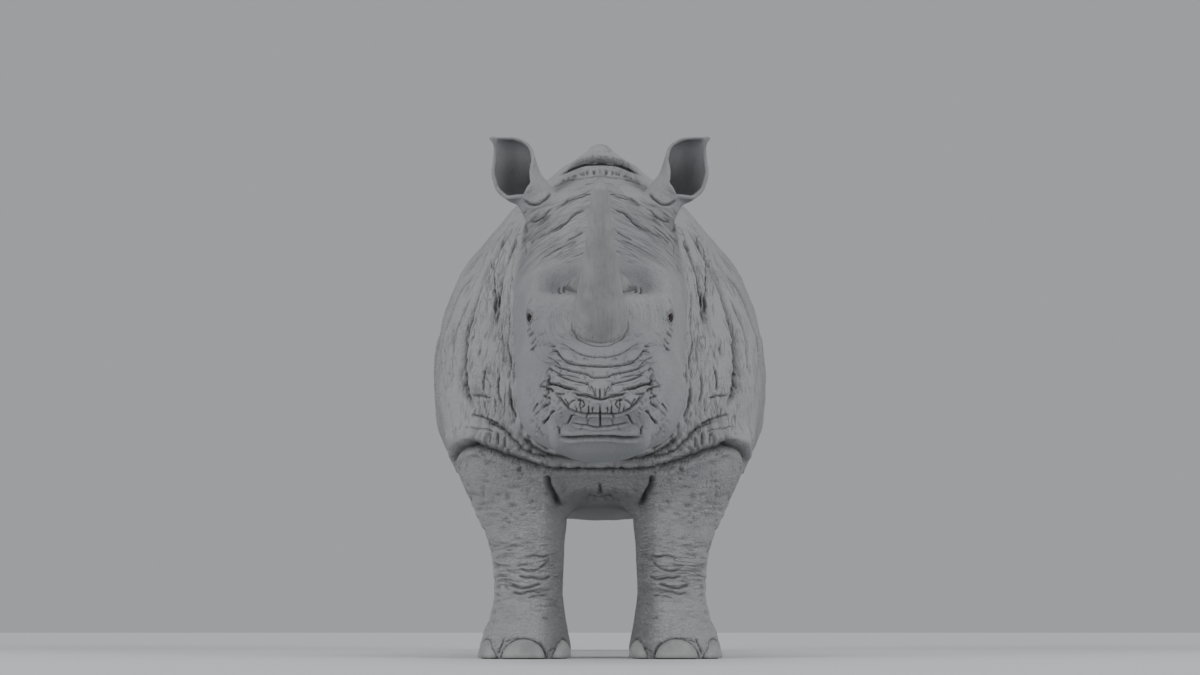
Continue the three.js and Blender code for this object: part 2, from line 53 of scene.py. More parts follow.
SIDES = (("left", 1), ("right", -1))
SWELL = 0.001
ROUGH = 0.012
LEGS = [f"{leg}_{side}" for leg in ("foreleg", "hindleg") for side, _ in SIDES]
muzzle_low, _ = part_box("muzzle")
FACE_TILT = math.radians(56)
LIPS = Vector((0, muzzle_low.y + 0.063, muzzle_low.z + 0.043))


def face_point(x, u, v):
    """A place on the head: u up the face from the lips, v out of the forehead."""
    along, out = math.cos(FACE_TILT), math.sin(FACE_TILT)
    return Vector((x, LIPS.y + u * along - v * out, LIPS.z + u * out + v * along))


def flesh(node, swell=SWELL):
    """A welded copy of a solid, swollen into its neighbours."""
    form = bmesh.new()
    form.from_mesh(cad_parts[node].data)
    bmesh.ops.remove_doubles(form, verts=form.verts, dist=1e-4)
    form.normal_update()
    for vert in form.verts:
        vert.co += vert.normal * swell
    return form


def plug(node, height):
    """The part of a horn that stands in the head, cut off below the skin to fill its bed."""
    form = flesh(node)
    cut = face_point(0, 0, height)
    out = face_point(0, 0, 1) - face_point(0, 0, 0)
    everything = form.verts[:] + form.edges[:] + form.faces[:]
    bmesh.ops.bisect_plane(form, geom=everything, plane_co=cut, plane_no=out, clear_outer=True)
    bmesh.ops.holes_fill(form, edges=form.edges)
    return form


def placed(name, data):
    """A new object in the scene for a mesh, a lamp or a camera."""
    made = bpy.data.objects.new(name, data)
    bpy.context.collection.objects.link(made)
    return made


def mesh_of(form, name):
    """A form as a mesh; the form is used up."""
    mesh = bpy.data.meshes.new(name)
    form.to_mesh(mesh)
    form.free()
    return mesh


def joined(name, forms):
    """One mesh out of several forms."""
    whole = bmesh.new()
    for form in forms:
        part = mesh_of(form, name)
        whole.from_mesh(part)
        bpy.data.meshes.remove(part)
    return mesh_of(whole, name)


def worked(body):
    """The mesh that an object's modifiers make of it; the object is used up."""
    made = bpy.data.meshes.new_from_object(body.evaluated_get(bpy.context.evaluated_depsgraph_get()))
    bpy.data.objects.remove(body)
    return made


def cast(name, mesh, voxel):
    """The outer surface of overlapping forms, as one closed mesh of even quads."""
    body = placed(name, mesh)
    remesh = body.modifiers.new("union", "REMESH")
    remesh.mode = "VOXEL"
    remesh.voxel_size = voxel
    return worked(body)


def points_of(mesh):
    """The mesh's points, a row to each."""
    flat = np.empty(len(mesh.vertices) * 3, np.float32)
    mesh.vertices.foreach_get("co", flat)
    return flat.reshape(-1, 3).astype(float)


def normals_of(mesh):
    """The way the mesh faces at each point."""
    flat = np.empty(len(mesh.vertices) * 3, np.float32)
    mesh.vertex_normals.foreach_get("vector", flat)
    return flat.reshape(-1, 3).astype(float)


def edges_of(mesh):
    """The two points of each edge."""
    flat = np.empty(len(mesh.edges) * 2, np.int32)
    mesh.edges.foreach_get("vertices", flat)
    return flat.reshape(-1, 2)


def step(low, high, value):
    """0 below low, 1 above high and a smooth rise between; falls instead where low is the greater."""
    part = np.clip((value - low) / (high - low), 0, 1)
    return part * part * (3 - 2 * part)


def relax(points, edges, weight, rounds):
    """Smooths without shrinking: each round draws points together, then swells them back."""
    a, b = edges.T
    size = len(points)
    around = np.bincount(a, minlength=size) + np.bincount(b, minlength=size)
    for pull in [0.6, -0.62] * rounds:
        for axis in range(3):
            column = points[:, axis]
            total = np.bincount(a, column[b], size) + np.bincount(b, column[a], size)
            points[:, axis] += pull * weight * (total / np.maximum(around, 1) - column)


def how_soft(points):
    """How far each place is relaxed: fully on the trunk, less on the legs and head, not at the soles."""
    x, y, z = points.T
    along = (y - LIPS.y) * math.cos(FACE_TILT) + (z - LIPS.z) * math.sin(FACE_TILT)
    soft = 0.3 + 0.7 * step(0.35, 0.75, along) * step(-1.0, -0.75, y)
    soft *= 0.35 + 0.65 * step(0.25, 0.7, z)
    return np.where(z < 0.03, 0.0, soft)


FLESH = ["head", "muzzle", "jaw", "neck", "trunk", "tail", *LEGS]
rough_forms = [flesh(node) for node in FLESH]
rough_forms += [plug("horn_front", 0.088), plug("horn_rear", 0.03)]
carcass = cast("carcass", joined("carcass", rough_forms), ROUGH)
points = points_of(carcass)
relax(points, edges_of(carcass), how_soft(points), 45)
carcass.vertices.foreach_set("co", points.astype(np.float32).ravel())
carcass.update()

# ---- The ears -------------------------------------------------------------------------------------
# Each ear is a cup of gristle on a round stalk, open to the front, with a rolled rim and a tip that
# hooks outwards. It is bent out of one sheet, its rim is laid on as a bead, and the hide covers it.

EAR_ROOT = face_point(0.176, 0.792, -0.06)
EAR_LEAN, EAR_BACK, EAR_OPENING = (math.radians(turn) for turn in (20, 4, 8))  # outwards, backwards, facing out
EAR_AXIS = Vector((math.sin(EAR_LEAN), math.sin(EAR_BACK), math.cos(EAR_LEAN))).normalized()
EAR_MOUTH = Vector((math.sin(EAR_OPENING), -math.cos(EAR_OPENING), 0))
EAR_MOUTH = (EAR_MOUTH - EAR_AXIS * EAR_MOUTH.dot(EAR_AXIS)).normalized()
EAR_ACROSS = EAR_AXIS.cross(EAR_MOUTH)
EAR_WALL = 0.010
EAR_SECTIONS = (
    # height, radius, half of the arc in degrees, how far the arc is turned, how far it stands aside
    (-0.020, 0.046, 179, -25, -0.020), (0.050, 0.050, 179, -25, -0.021), (0.094, 0.053, 176, -25, -0.019),
    (0.126, 0.063, 128, -25, -0.002), (0.168, 0.066, 111, -16, 0.012), (0.206, 0.066, 98, -4, 0.010),
    (0.256, 0.056, 80, 0, 0.001), (0.288, 0.042, 65, 0, 0.0065), (0.308, 0.021, 55, 0, 0.023),
    (0.323, 0.004, 40, 0, 0.043),
)
EAR_ENDS = (EAR_SECTIONS[0][0], EAR_SECTIONS[-1][0])


def curve(pairs, t):
    """A smooth value at t through pairs of place and value, which never overshoots them."""
    places, values = zip(*pairs)
    slopes = [(d - b) / (c - a) for (a, b), (c, d) in zip(pairs, pairs[1:])]
    bends = [2 * p * q / (p + q) if p * q > 0 else 0 for p, q in zip(slopes, slopes[1:])]
    bends = [slopes[0], *bends, slopes[-1]]
    n = min(max(int(np.searchsorted(places, t)) - 1, 0), len(slopes) - 1)
    gap = places[n + 1] - places[n]
    s = min(max((t - places[n]) / gap, 0), 1)
    ends = (1 + 2 * s) * (1 - s) ** 2 * values[n] + s * s * (3 - 2 * s) * values[n + 1]
    return ends + gap * (s * (1 - s) ** 2 * bends[n] + s * s * (s - 1) * bends[n + 1])


def ear_point(round_it, height, grow=0.0):
    """A place on the left ear's sheet: -1 to 1 round it from rim to rim, and a height up its stalk."""
    radius, wrap, twist, aside = (curve([(row[0], row[n]) for row in EAR_SECTIONS], height) for n in (1, 2, 3, 4))
    turn = math.radians(wrap * round_it + twist)
    forward = curve([(0.1, 0), (0.3, 0.012), (0.323, 0)], height)
    centre = EAR_ROOT + EAR_AXIS * height + EAR_ACROSS * aside + EAR_MOUTH * forward
    return centre + (EAR_ACROSS * math.sin(turn) - EAR_MOUTH * math.cos(turn)) * (radius + grow)


def bead(form, line, size):
    """A rounded ridge: balls set close together along a line."""
    for n, place in enumerate(line):
        radius = size(n / (len(line) - 1))
        bmesh.ops.create_icosphere(form, subdivisions=2, radius=radius, matrix=Matrix.Translation(place))


def ear(sign):
    """The sheet with its rim, the ridges inside it, and the root that it stands on."""
    low, high = EAR_ENDS
    cup = bmesh.new()
    bmesh.ops.create_grid(cup, x_segments=128, y_segments=72, size=1)
    for vert in cup.verts:
        round_it = math.pi * (vert.co.x + 1)
        face = math.copysign(abs(math.sin(round_it)) ** 0.35, math.sin(round_it))
        height = low + (high - low) * (vert.co.y + 1) / 2
        vert.co = ear_point(-math.cos(round_it), height, face * EAR_WALL / 2)
    bmesh.ops.remove_doubles(cup, verts=cup.verts, dist=1e-5)
    bmesh.ops.holes_fill(cup, edges=cup.edges)
    heights = np.linspace(0.088, high, 90)
    bead(cup, [ear_point(1, h, -0.001) for h in heights], lambda t: 0.0082 - 0.0022 * t)
    bead(cup, [ear_point(-1, h, -0.001) for h in heights], lambda t: 0.0072 - 0.0012 * t)
    for start, end, size in (
        ((-0.98, 0.142), (-0.60, 0.128), 0.0085),
        ((-0.95, 0.166), (-0.55, 0.160), 0.0065),
        ((-0.60, 0.130), (-0.35, 0.262), 0.0042),
    ):
        ridge = [ear_point(*(a + (b - a) * t for a, b in zip(start, end)), -0.007) for t in np.linspace(0, 1, 30)]
        bead(cup, ridge, lambda t: size * (0.35 + 0.65 * math.sin(math.pi * min(t + 0.2, 1))))
    for place, radii in (
        (ear_point(0, 0.02, -0.05), (0.056, 0.056, 0.060)),
        (ear_point(-0.35, 0.065, -0.040), (0.036, 0.036, 0.066)),
    ):
        turned = Matrix.Rotation(EAR_LEAN, 4, "Y")
        shape = Matrix.Translation(place) @ turned @ Matrix.Diagonal((*radii, 1))
        bmesh.ops.create_icosphere(cup, subdivisions=4, radius=1, matrix=shape)
    bmesh.ops.transform(cup, matrix=Matrix.Diagonal((sign, 1, 1, 1)), verts=cup.verts)
    bmesh.ops.recalc_face_normals(cup, faces=cup.faces)
    return cup


# ---- The hide -------------------------------------------------------------------------------------
# One skin over carcass and ears: thick grey leather, nearly bare, that hangs in folds at the throat,
# shoulders and flanks and is finely creased everywhere. Nothing is sewn: it is one closed surface.

FINE = 0.0048


def lattice(count, seed):
    """Unit directions for the corners of the noise."""
    made = np.random.default_rng(seed).normal(size=(count, 3))
    return (made / np.linalg.norm(made, axis=1)[:, None]).astype(np.float32)


CORNERS = 4096
DIRECTIONS = lattice(CORNERS, 11)


def noise(places, seed=0):
    """Gradient noise, smooth and about -0.7 to 0.7, with one swell to the unit."""
    places = places.astype(np.float32)
    cell = np.floor(places).astype(np.int64)
    part = places - cell
    ease = part ** 3 * (part * (part * 6 - 15) + 10)
    total = np.zeros(len(places), np.float32)
    for corner in product((0, 1), repeat=3):
        key = ((cell + corner) * (73856093, 19349663, 83492791)).sum(1) + seed * 2654435
        direction = DIRECTIONS[(key ^ (key >> 13)) % CORNERS]
        share = np.prod(np.where(corner, ease, 1 - ease), axis=1)
        total += share * ((part - corner) * direction).sum(1)
    return total


def smooth_line(corners, spacing=0.006):
    """Places along a smooth curve through a few corners."""
    ends = [np.array(c, float) for c in corners]
    ends = [2 * ends[0] - ends[1], *ends, 2 * ends[-1] - ends[-2]]
    made = []
    for a, b, c, d in zip(ends, ends[1:], ends[2:], ends[3:]):
        for t in np.linspace(0, 1, max(int(np.linalg.norm(c - b) / spacing), 1) + 1)[:-1]:
            bend = 2 * b + (c - a) * t + (2 * a - 5 * b + 4 * c - d) * t * t
            made.append((bend + (3 * b - a - 3 * c + d) * t ** 3) / 2)
    return [*made, ends[-2]]


class Clay:
    """The hide while it is modelled: its points, the way each faces, and the shade painted on each where it lies in a
    fold.
    """

    def __init__(self, points, normals):
        self.points = points
        self.normals = normals
        self.rise = np.zeros(len(points))
        self.painted_shade = np.zeros(len(points))
        self.gather(np.arange(len(points)))

    def gather(self, chosen):
        """Takes only the chosen points into the work that follows."""
        self.pool = chosen
        self.columns = np.ascontiguousarray(self.points[chosen].T)

    def furrow(self, line, width, depth, banks=(0.25, 0.25), taper=0.3, shade_amount=1.0):
        """A crease along a line: a narrow cut in a shallow valley, with a swelling on either bank of it."""
        if len(line) < 2:
            return
        line = np.array(line, float)
        reach = 6 * width + 0.004
        low, high = line.min(0) - reach, line.max(0) + reach
        x, y, z = self.columns
        near = np.flatnonzero((z > low[2]) & (z < high[2]))
        near = near[(x[near] > low[0]) & (x[near] < high[0]) & (y[near] > low[1]) & (y[near] < high[1])]
        chosen = self.pool[near]
        if len(chosen) == 0:
            return
        here, facing = self.points[chosen], self.normals[chosen]
        nearest = np.full(len(chosen), np.inf)
        along = np.zeros(len(chosen))
        left = np.zeros(len(chosen))
        lengths = np.linalg.norm(np.diff(line, axis=0), axis=1)
        whole = lengths.sum()
        for a, b, before in zip(line, line[1:], np.cumsum(lengths) - lengths):
            run = b - a
            size = np.linalg.norm(run)
            t = np.clip((here - a) @ run / size**2, 0, 1)
            away = here - a - t[:, None] * run
            away -= 0.85 * (away * facing).sum(1)[:, None] * facing
            distance = np.linalg.norm(away, axis=1)
            closer = distance < nearest
            nearest[closer] = distance[closer]
            along[closer] = (before + t[closer] * size) / whole
            left[closer] = (away * np.cross(facing, run)).sum(1)[closer]
        fade = step(0, taper, along) * step(1, 1 - taper, along) if taper else 1.0
        reached = nearest / width
        groove = 0.85 * np.exp(-(reached**1.5)) + 0.15 * np.exp(-((reached / 2.4) ** 2))
        bank = np.where(left > 0, banks[0], banks[1]) * np.exp(-(((reached - 3.0) / 1.5) ** 2))
        self.rise[chosen] += depth * fade * (bank - groove)
        # Painted shade: the crease's cut is darkened in the skin's colour, most at its middle.
        painted_shade = shade_amount * min(depth / 0.004, 1) * fade * np.exp(-((1.15 * reached) ** 1.6))
        self.painted_shade[chosen] = np.maximum(self.painted_shade[chosen], painted_shade)


def cast_from(direction, start):
    """Sends a place in an elevation straight onto the hide; direction is 'front', 'side' or 'back'."""
    axis = {"front": Vector((0, 1, 0)), "back": Vector((0, -1, 0)), "side": Vector((-1, 0, 0))}[direction]
    return surface.ray_cast(start, axis)[0]


def drawn(corners, view="front", start=3.0, wobble=0.0, seed=0, gap=0.03):
    """A line on the body from its corners in an elevation: across and up from the front or back, or along
    and up from the side. A wobble makes it uneven. It ends where the body falls away behind an edge."""
    line = []
    for n, (across, up) in enumerate(smooth_line(corners)):
        if wobble:
            stray = noise(np.array([[n * 0.31 + seed, seed * 1.7, 0.5], [n * 0.31 + seed, 9.5, seed * 2.3]]), seed)
            across, up = across + wobble * stray[0], up + wobble * stray[1]
        place = {"front": (across, -start, up), "back": (across, start, up), "side": (start, across, up)}[view]
        hit = cast_from(view, Vector(place))
        if hit is None or (line and (hit - line[-1]).length > gap):
            if len(line) > 2:
                break
            line = []
            continue
        line.append(hit)
    return line


def pair(line):
    """A line and its image on the other side."""
    return [line, [Vector((-p.x, p.y, p.z)) for p in line]]


def crease(
    width, depth, *corners, view="front", start=3.0, wobble=1.5, taper=0.15, banks=(0.25, 0.25), shade_amount=1.0, gap=0.03
):
    """Cuts a crease given in millimetres, and its image; one that ends at the middle runs on across it."""
    across = [(x / 1000, z / 1000) for x, z in corners]
    seed = abs(hash(corners)) % 997
    through = view != "side" and across[-1][0] == 0
    if through:
        across += [(-x, z) for x, z in across[-2::-1]]
    line = drawn(across, view, start, wobble / 1000, seed, gap)
    for side in [line] if through else pair(line):
        clay.furrow(side, width / 1000, depth / 1000, banks, taper, shade_amount)


def strokes(seed, count, area, heading, length, width, depth, view="front", start=3.0, bend=0.25, shade_amount=0.35):
    """Many small creases scattered over an area of an elevation, all in millimetres; heading gives each
    one's slope from where it starts."""
    random = np.random.default_rng(seed)
    x_low, x_high, z_low, z_high = area
    margin = length[1] / 1000 + 0.03
    across = np.abs(clay.points[:, 0]) if view != "side" else clay.points[:, 1]
    clay.gather(np.flatnonzero(
        (across > x_low / 1000 - margin) & (across < x_high / 1000 + margin)
        & (clay.points[:, 2] > z_low / 1000 - margin) & (clay.points[:, 2] < z_high / 1000 + margin)
    ))
    for n in range(count):
        x, z = random.uniform(x_low, x_high), random.uniform(z_low, z_high)
        run = random.uniform(*length)
        turn = math.radians(heading(x, z) + random.normal(0, 6))
        swerve = random.normal(0, bend)
        corners = [(x, z)]
        for part in range(3):
            x, z = x + run / 3 * math.cos(turn), z + run / 3 * math.sin(turn)
            turn += swerve / 3
            corners.append((x, z))
        size = random.uniform(0.7, 1.3)
        depth_here = depth * size * random.uniform(0.6, 1.2)
        crease(width * size, depth_here, *corners, view=view, start=start, taper=0.4, shade_amount=shade_amount)
    clay.gather(np.arange(len(clay.points)))


whole = bmesh.new()
whole.from_mesh(carcass)
hide = cast("hide", joined("hide", [whole, *(ear(sign) for _, sign in SIDES)]), FINE)


def tree_of(mesh):
    """The mesh as something that lines can be thrown onto."""
    corners = np.empty(len(mesh.loops), np.int32)
    mesh.loops.foreach_get("vertex_index", corners)
    starts = np.empty(len(mesh.polygons), np.int32)
    mesh.polygons.foreach_get("loop_start", starts)
    faces = [part.tolist() for part in np.split(corners, starts[1:])]
    return BVHTree.FromPolygons(points_of(mesh).tolist(), faces)


def finer(mesh, wanted):
    """Halves the faces whose middle is wanted."""
    fine = bmesh.new()
    fine.from_mesh(mesh)
    chosen = {edge for face in fine.faces if wanted(face.calc_center_median()) for edge in face.edges}
    bmesh.ops.subdivide_edges(fine, edges=list(chosen), cuts=1, use_grid_fill=True)
    bmesh.ops.triangulate(fine, faces=[face for face in fine.faces if len(face.verts) > 4])
    fine.to_mesh(mesh)
    fine.free()
    mesh.update()


def on_face(place):
    """Whether a place is on the front of the head, on the neck beside it, or on a shin."""
    up = (place.y - LIPS.y) * math.cos(FACE_TILT) + (place.z - LIPS.z) * math.sin(FACE_TILT)
    if place.y < -0.72:
        return up < 0.86 and abs(place.x) < 0.27
    return (place.y < -0.50 and 0.60 < place.z < 1.56) or (place.y < -0.42 and 0.13 < place.z < 0.38)


finer(hide, on_face)
clay = Clay(points_of(hide), normals_of(hide))


def put_back(mesh, clay):
    """Moves the hide's points out by what was modelled, and starts afresh from there."""
    clay.points += clay.normals * clay.rise[:, None]
    clay.rise[:] = 0
    mesh.vertices.foreach_set("co", clay.points.astype(np.float32).ravel())
    mesh.update()
    clay.normals = normals_of(mesh)
    clay.gather(np.arange(len(clay.points)))


def mound(place, radii, lift):
    """Raises the hide round a place on the head, and round its image; radii run across, up and out of the face."""
    dy, dz = clay.points[:, 1] - place.y, clay.points[:, 2] - place.z
    up = dy * math.cos(FACE_TILT) + dz * math.sin(FACE_TILT)
    out = dz * math.cos(FACE_TILT) - dy * math.sin(FACE_TILT)
    across = np.abs(clay.points[:, 0]) - place.x
    away = (across / radii[0]) ** 2 + (up / radii[1]) ** 2 + (out / radii[2]) ** 2
    clay.rise += lift * np.exp(-away)


def soften(mask, rounds):
    """Relaxes only the part of the hide where the mask is more than nothing."""
    chosen = np.flatnonzero(mask > 0.01)
    place = np.full(len(clay.points), -1)
    place[chosen] = np.arange(len(chosen))
    edges = place[hide_edges]
    edges = edges[(edges >= 0).all(1)]
    part = clay.points[chosen]
    linked = np.bincount(edges.ravel(), minlength=len(chosen)) > 0
    relax(part, edges, np.where(linked, mask[chosen], 0.0), rounds)
    clay.points[chosen] = part


hide_edges = edges_of(hide)
one_side = np.column_stack([np.abs(clay.points[:, 0]), clay.points[:, 1:]])
root_away = np.linalg.norm(one_side - np.array(EAR_ROOT), axis=1)
soften(step(0.17, 0.10, root_away), 45)
put_back(hide, clay)

out_x = np.abs(clay.points[:, 0])
inside_ears = step(0.03, 0.10, clay.points[:, 2] - EAR_ROOT.z) * step(0.30, 0.22, root_away) * step(0.10, 0.13, out_x)

# The head's forms: forehead over hollow temples, brow, full jowls, lips and the pad round the nose horn.
for place, radii, lift in (
    (face_point(0.125, 0.59, 0.03), (0.085, 0.07, 0.08), 0.016),
    (face_point(0.122, 0.470, 0.03), (0.060, 0.036, 0.07), -0.034),
    (face_point(0.122, 0.535, 0.05), (0.075, 0.035, 0.06), 0.012),
    (face_point(0.175, 0.455, -0.02), (0.035, 0.035, 0.05), 0.010),
    (face_point(0, 0.17, 0.10), (0.11, 0.06, 0.06), 0.006),
    (face_point(0, 0.03, 0.06), (0.12, 0.05, 0.06), 0.010),
    (face_point(0.195, 0.08, -0.20), (0.07, 0.10, 0.10), 0.022),
    (face_point(0.088, 0.470, 0.0), (0.026, 0.020, 0.030), 0.010),
    (Vector((0.125, -1.225, 0.560)), (0.040, 0.045, 0.060), 0.022),
    (Vector((0.440, -0.380, 0.625)), (0.050, 0.022, 0.050), 0.016),
):
    mound(place, radii, lift)
clay.points += clay.normals * clay.rise[:, None]
clay.rise[:] = 0
ridge = step(-0.71, -0.64, clay.points[:, 1]) * step(0.10, -0.30, clay.points[:, 1])
narrow = np.interp(clay.points[:, 2], (1.49, 1.52, 1.547, 1.567, 1.60), (1, 0.97, 0.94, 0.84, 0.67))
clay.points[:, 0] *= 1 - (1 - narrow) * ridge * (1 - inside_ears)
jowl = step(0.06, 0.09, out_x) * step(0.22, 0.19, out_x)
jowl = jowl * step(0.88, 0.82, clay.points[:, 2]) * step(-0.98, -1.06, clay.points[:, 1])
soften(jowl, 40)
soften(0.6 * inside_ears, 14)
swells = 0.0016 * noise(clay.points * 17, 61) + 0.0009 * noise(clay.points * 41, 62)
clay.rise += swells * (1 - inside_ears) * (1 + 0.8 * step(-0.5, -0.1, clay.points[:, 1]))
put_back(hide, clay)

# The eyes: a swelling for the orbit, lids that hug the ball, and an almond opening between them.
EYE_LOW, EYE_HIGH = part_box("eye_left")
EYE = (EYE_LOW + EYE_HIGH) / 2 - Vector((0.008, 0, 0))
EYE_RADIUS = (EYE_HIGH.x - EYE_LOW.x) / 2
GAZE = Vector((0.58, -0.81, 0.05)).normalized()
LID = 0.0035
OPENING = (0.0185, 0.0120)  # half length and half height between the lids

finer(hide, lambda place: (Vector((abs(place.x), place.y, place.z)) - EYE).length < 0.055)
finer(hide, lambda place: place.y < -1.15 and abs(place.x) < 0.175 and 0.585 < place.z < 0.865)
surface = tree_of(hide)
clay = Clay(points_of(hide), normals_of(hide))


def open_eye(sign):
    look = np.array((sign * GAZE.x, GAZE.y, GAZE.z))
    centre = np.array((sign * EYE.x, EYE.y, EYE.z))
    hit = surface.ray_cast(Vector(centre + look * 0.2), -Vector(look))[0]
    shell = EYE_RADIUS + LID
    short = shell - 0.002 - (np.array(hit) - centre) @ look
    clay.points += look * short * np.exp(-((((clay.points - centre) ** 2).sum(1) / 0.045**2)))[:, None]
    level = np.cross((0, 0, 1), look)
    level /= np.linalg.norm(level)
    up = np.cross(look, level)
    away = clay.points - centre
    near = np.flatnonzero((away**2).sum(1) < 0.06**2)
    away = away[near]
    a, b, c = away @ level, away @ up, away @ look
    apart = np.hypot(a, b)
    dome = np.sqrt(np.maximum(shell**2 - apart**2, 0))
    tilt = b - 0.12 * a * sign
    edge = OPENING[1] * np.maximum(1 - (a / OPENING[0]) ** 2, 0) ** 0.75
    rise = np.where(apart < shell, dome - c, -1)
    lidded = c + 0.0015 * np.logaddexp(0, np.clip(rise / 0.0015, -30, 30))
    lidded += 0.0020 * np.exp(-(((np.abs(tilt) - edge - 0.0030) / 0.0020) ** 2)) * (np.abs(a) < OPENING[0] * 1.15)
    inside = step(-0.0012, 0.0016, edge - np.abs(tilt)) * (np.abs(a) < OPENING[0] + 0.002) * (c > 0)
    wanted = lidded + inside * (dome - LID - 0.008 - lidded)
    clay.points[near] += (wanted - c)[:, None] * look
    hold = step(shell + 0.008, shell - 0.004, apart) * (c > 0)
    # Shade is painted into the creases round the lids and into the opening between them.
    for reach, strength in ((0.0062, 0.0016), (0.0112, 0.0012)):
        ring = np.exp(-(((np.abs(tilt) - edge - reach) / 0.0013) ** 2)) * hold * (np.abs(a) < OPENING[0] * 1.3)
        clay.points[near] -= (strength * ring)[:, None] * look
        clay.painted_shade[near] = np.maximum(clay.painted_shade[near], 0.6 * ring)
    clay.painted_shade[near] = np.maximum(clay.painted_shade[near], inside)


for _, sign in SIDES:
    open_eye(sign)
put_back(hide, clay)

# Muzzle, lips and chin: pads parted by creases, and short pleats standing on the mouth.
clay.gather(np.flatnonzero((clay.points[:, 1] < -1.0) & (clay.points[:, 2] < 1.0)))
for fold in (
    (2.2, 3, (67, 867), (60, 844), (43, 830), (22, 820), (0, 817)),
    (2.4, 3, (93, 832), (78, 813), (57, 799), (30, 789), (0, 786)),
    (3.0, 8, (144, 813), (132, 816), (116, 814), (104, 792), (85, 775), (60, 766), (32, 761), (0, 760)),
    (2.4, 4, (134, 836), (128, 835), (117, 828)),
    (2.8, 7, (138, 784), (128, 779), (104, 761), (95, 757), (78, 749), (56, 744), (33, 738), (20, 730), (0, 729)),
    (2.2, 4, (95, 757), (102, 751), (110, 740)),
    (2.2, 3, (144, 810), (124, 790), (97, 758)),
    (2.6, 6, (116, 744), (98, 733), (80, 724), (60, 718), (38, 711), (22, 704)),
    (2.2, 4, (23, 706), (17, 693), (14, 674)),
    (2.4, 6, (172, 742), (150, 727), (122, 716), (98, 706), (76, 700), (52, 690), (30, 684)),
    (2.0, 4, (128, 766), (104, 742), (82, 736), (60, 731), (44, 722)),
    (2.0, 4, (66, 690), (58, 680), (42, 676), (26, 672)),
    (2.0, 4, (92, 676), (84, 664), (78, 652)),
    (2.0, 4, (104, 684), (98, 672), (90, 660)),
    (2.0, 4, (50, 672), (52, 655), (47, 640)),
    (2.0, 3, (12, 700), (11, 688), (9, 672)),
    (2.0, 3, (33, 716), (28, 702), (22, 690)),
    (2.4, 6, (0, 702), (0, 672)),
    (3.2, 11, (150, 748), (137, 731), (120, 717), (103, 711), (89, 702), (72, 698), (58, 697), (50, 692)),
    (3.0, 9, (72, 692), (61, 684), (47, 682), (33, 678), (19, 672), (0, 669)),
    (2.6, 6, (134, 718), (128, 706), (120, 695)),
    (2.4, 5, (118, 691), (103, 686), (88, 686)),
    (3.4, 12, (122, 697), (105, 676), (91, 661), (79, 649), (65, 641), (50, 637), (36, 634), (0, 634)),
    (2.2, 4, (80, 652), (73, 665), (62, 669)),
    (2.2, 4, (60, 668), (43, 665), (40, 657), (50, 647)),
    (2.2, 4, (61, 652), (60, 638)),
    (2.4, 5, (30, 657), (29, 641), (38, 624)),
    (2.2, 3, (20, 652), (19, 638)),
    (2.6, 7, (0, 662), (0, 607)),
    (2.4, 5, (60, 633), (73, 631), (77, 624), (86, 611)),
    (3.2, 10, (76, 616), (60, 612), (38, 609), (18, 607), (0, 606)),
    (2.2, 3, (30, 622), (33, 612)),
    (5.5, 17, (112, 588), (96, 580), (80, 579), (60, 580), (40, 582), (0, 583)),
    (3.0, 7, (110, 612), (106, 600), (105, 588)),
    (3.2, 8, (158, 629), (148, 633), (131, 643), (113, 647)),
    (2.8, 6, (160, 668), (146, 676), (130, 673)),
    (2.8, 6, (156, 704), (141, 698), (128, 680)),
    (2.4, 5, (166, 687), (175, 677), (184, 663)),
    (2.2, 5, (149, 746), (157, 737), (163, 727)),
    (2.4, 4, (176, 858), (183, 848), (196, 850)),
    (2.4, 3, (150, 600), (160, 612), (166, 625)),
):
    crease(0.75 * fold[0], *fold[1:], wobble=2.5, gap=0.10)
for slit in (
    ((160, 628), (148, 633), (131, 643), (111, 649)),
    ((161, 667), (146, 676), (128, 673)),
    ((157, 705), (141, 698), (127, 679)),
    ((137, 720), (129, 707), (119, 694)),
):
    crease(3.6, 0.2, *slit, shade_amount=25, gap=0.10)
PADS = ((0.050, 0.595, 0.055, 0.013, 0.006), (0.125, 0.625, 0.016, 0.02, 0.004), (0.050, 0.652, 0.05, 0.012, 0.003))
for x, z, wide, high, lift in PADS:
    across = (np.maximum(np.abs(np.abs(clay.points[:, 0]) - x) - wide * 0.6, 0) / (wide * 0.5)) ** 2
    clay.rise += lift * np.exp(-across - ((clay.points[:, 2] - z) / high) ** 2) * (clay.points[:, 1] < -1.20)
put_back(hide, clay)

# Nostrils: a comma-shaped pit high on each side of the muzzle, with a thick rim behind.
crease(7.5, 20, (-1262, 722), (-1248, 737), (-1228, 741), (-1212, 733), view="side", taper=0.25, banks=(0.35, 0.2))
crease(3.0, 6, (-1275, 752), (-1245, 768), (-1208, 760), (-1190, 738), view="side")
crease(3.0, 5, (-1268, 700), (-1240, 706), (-1205, 704), view="side")

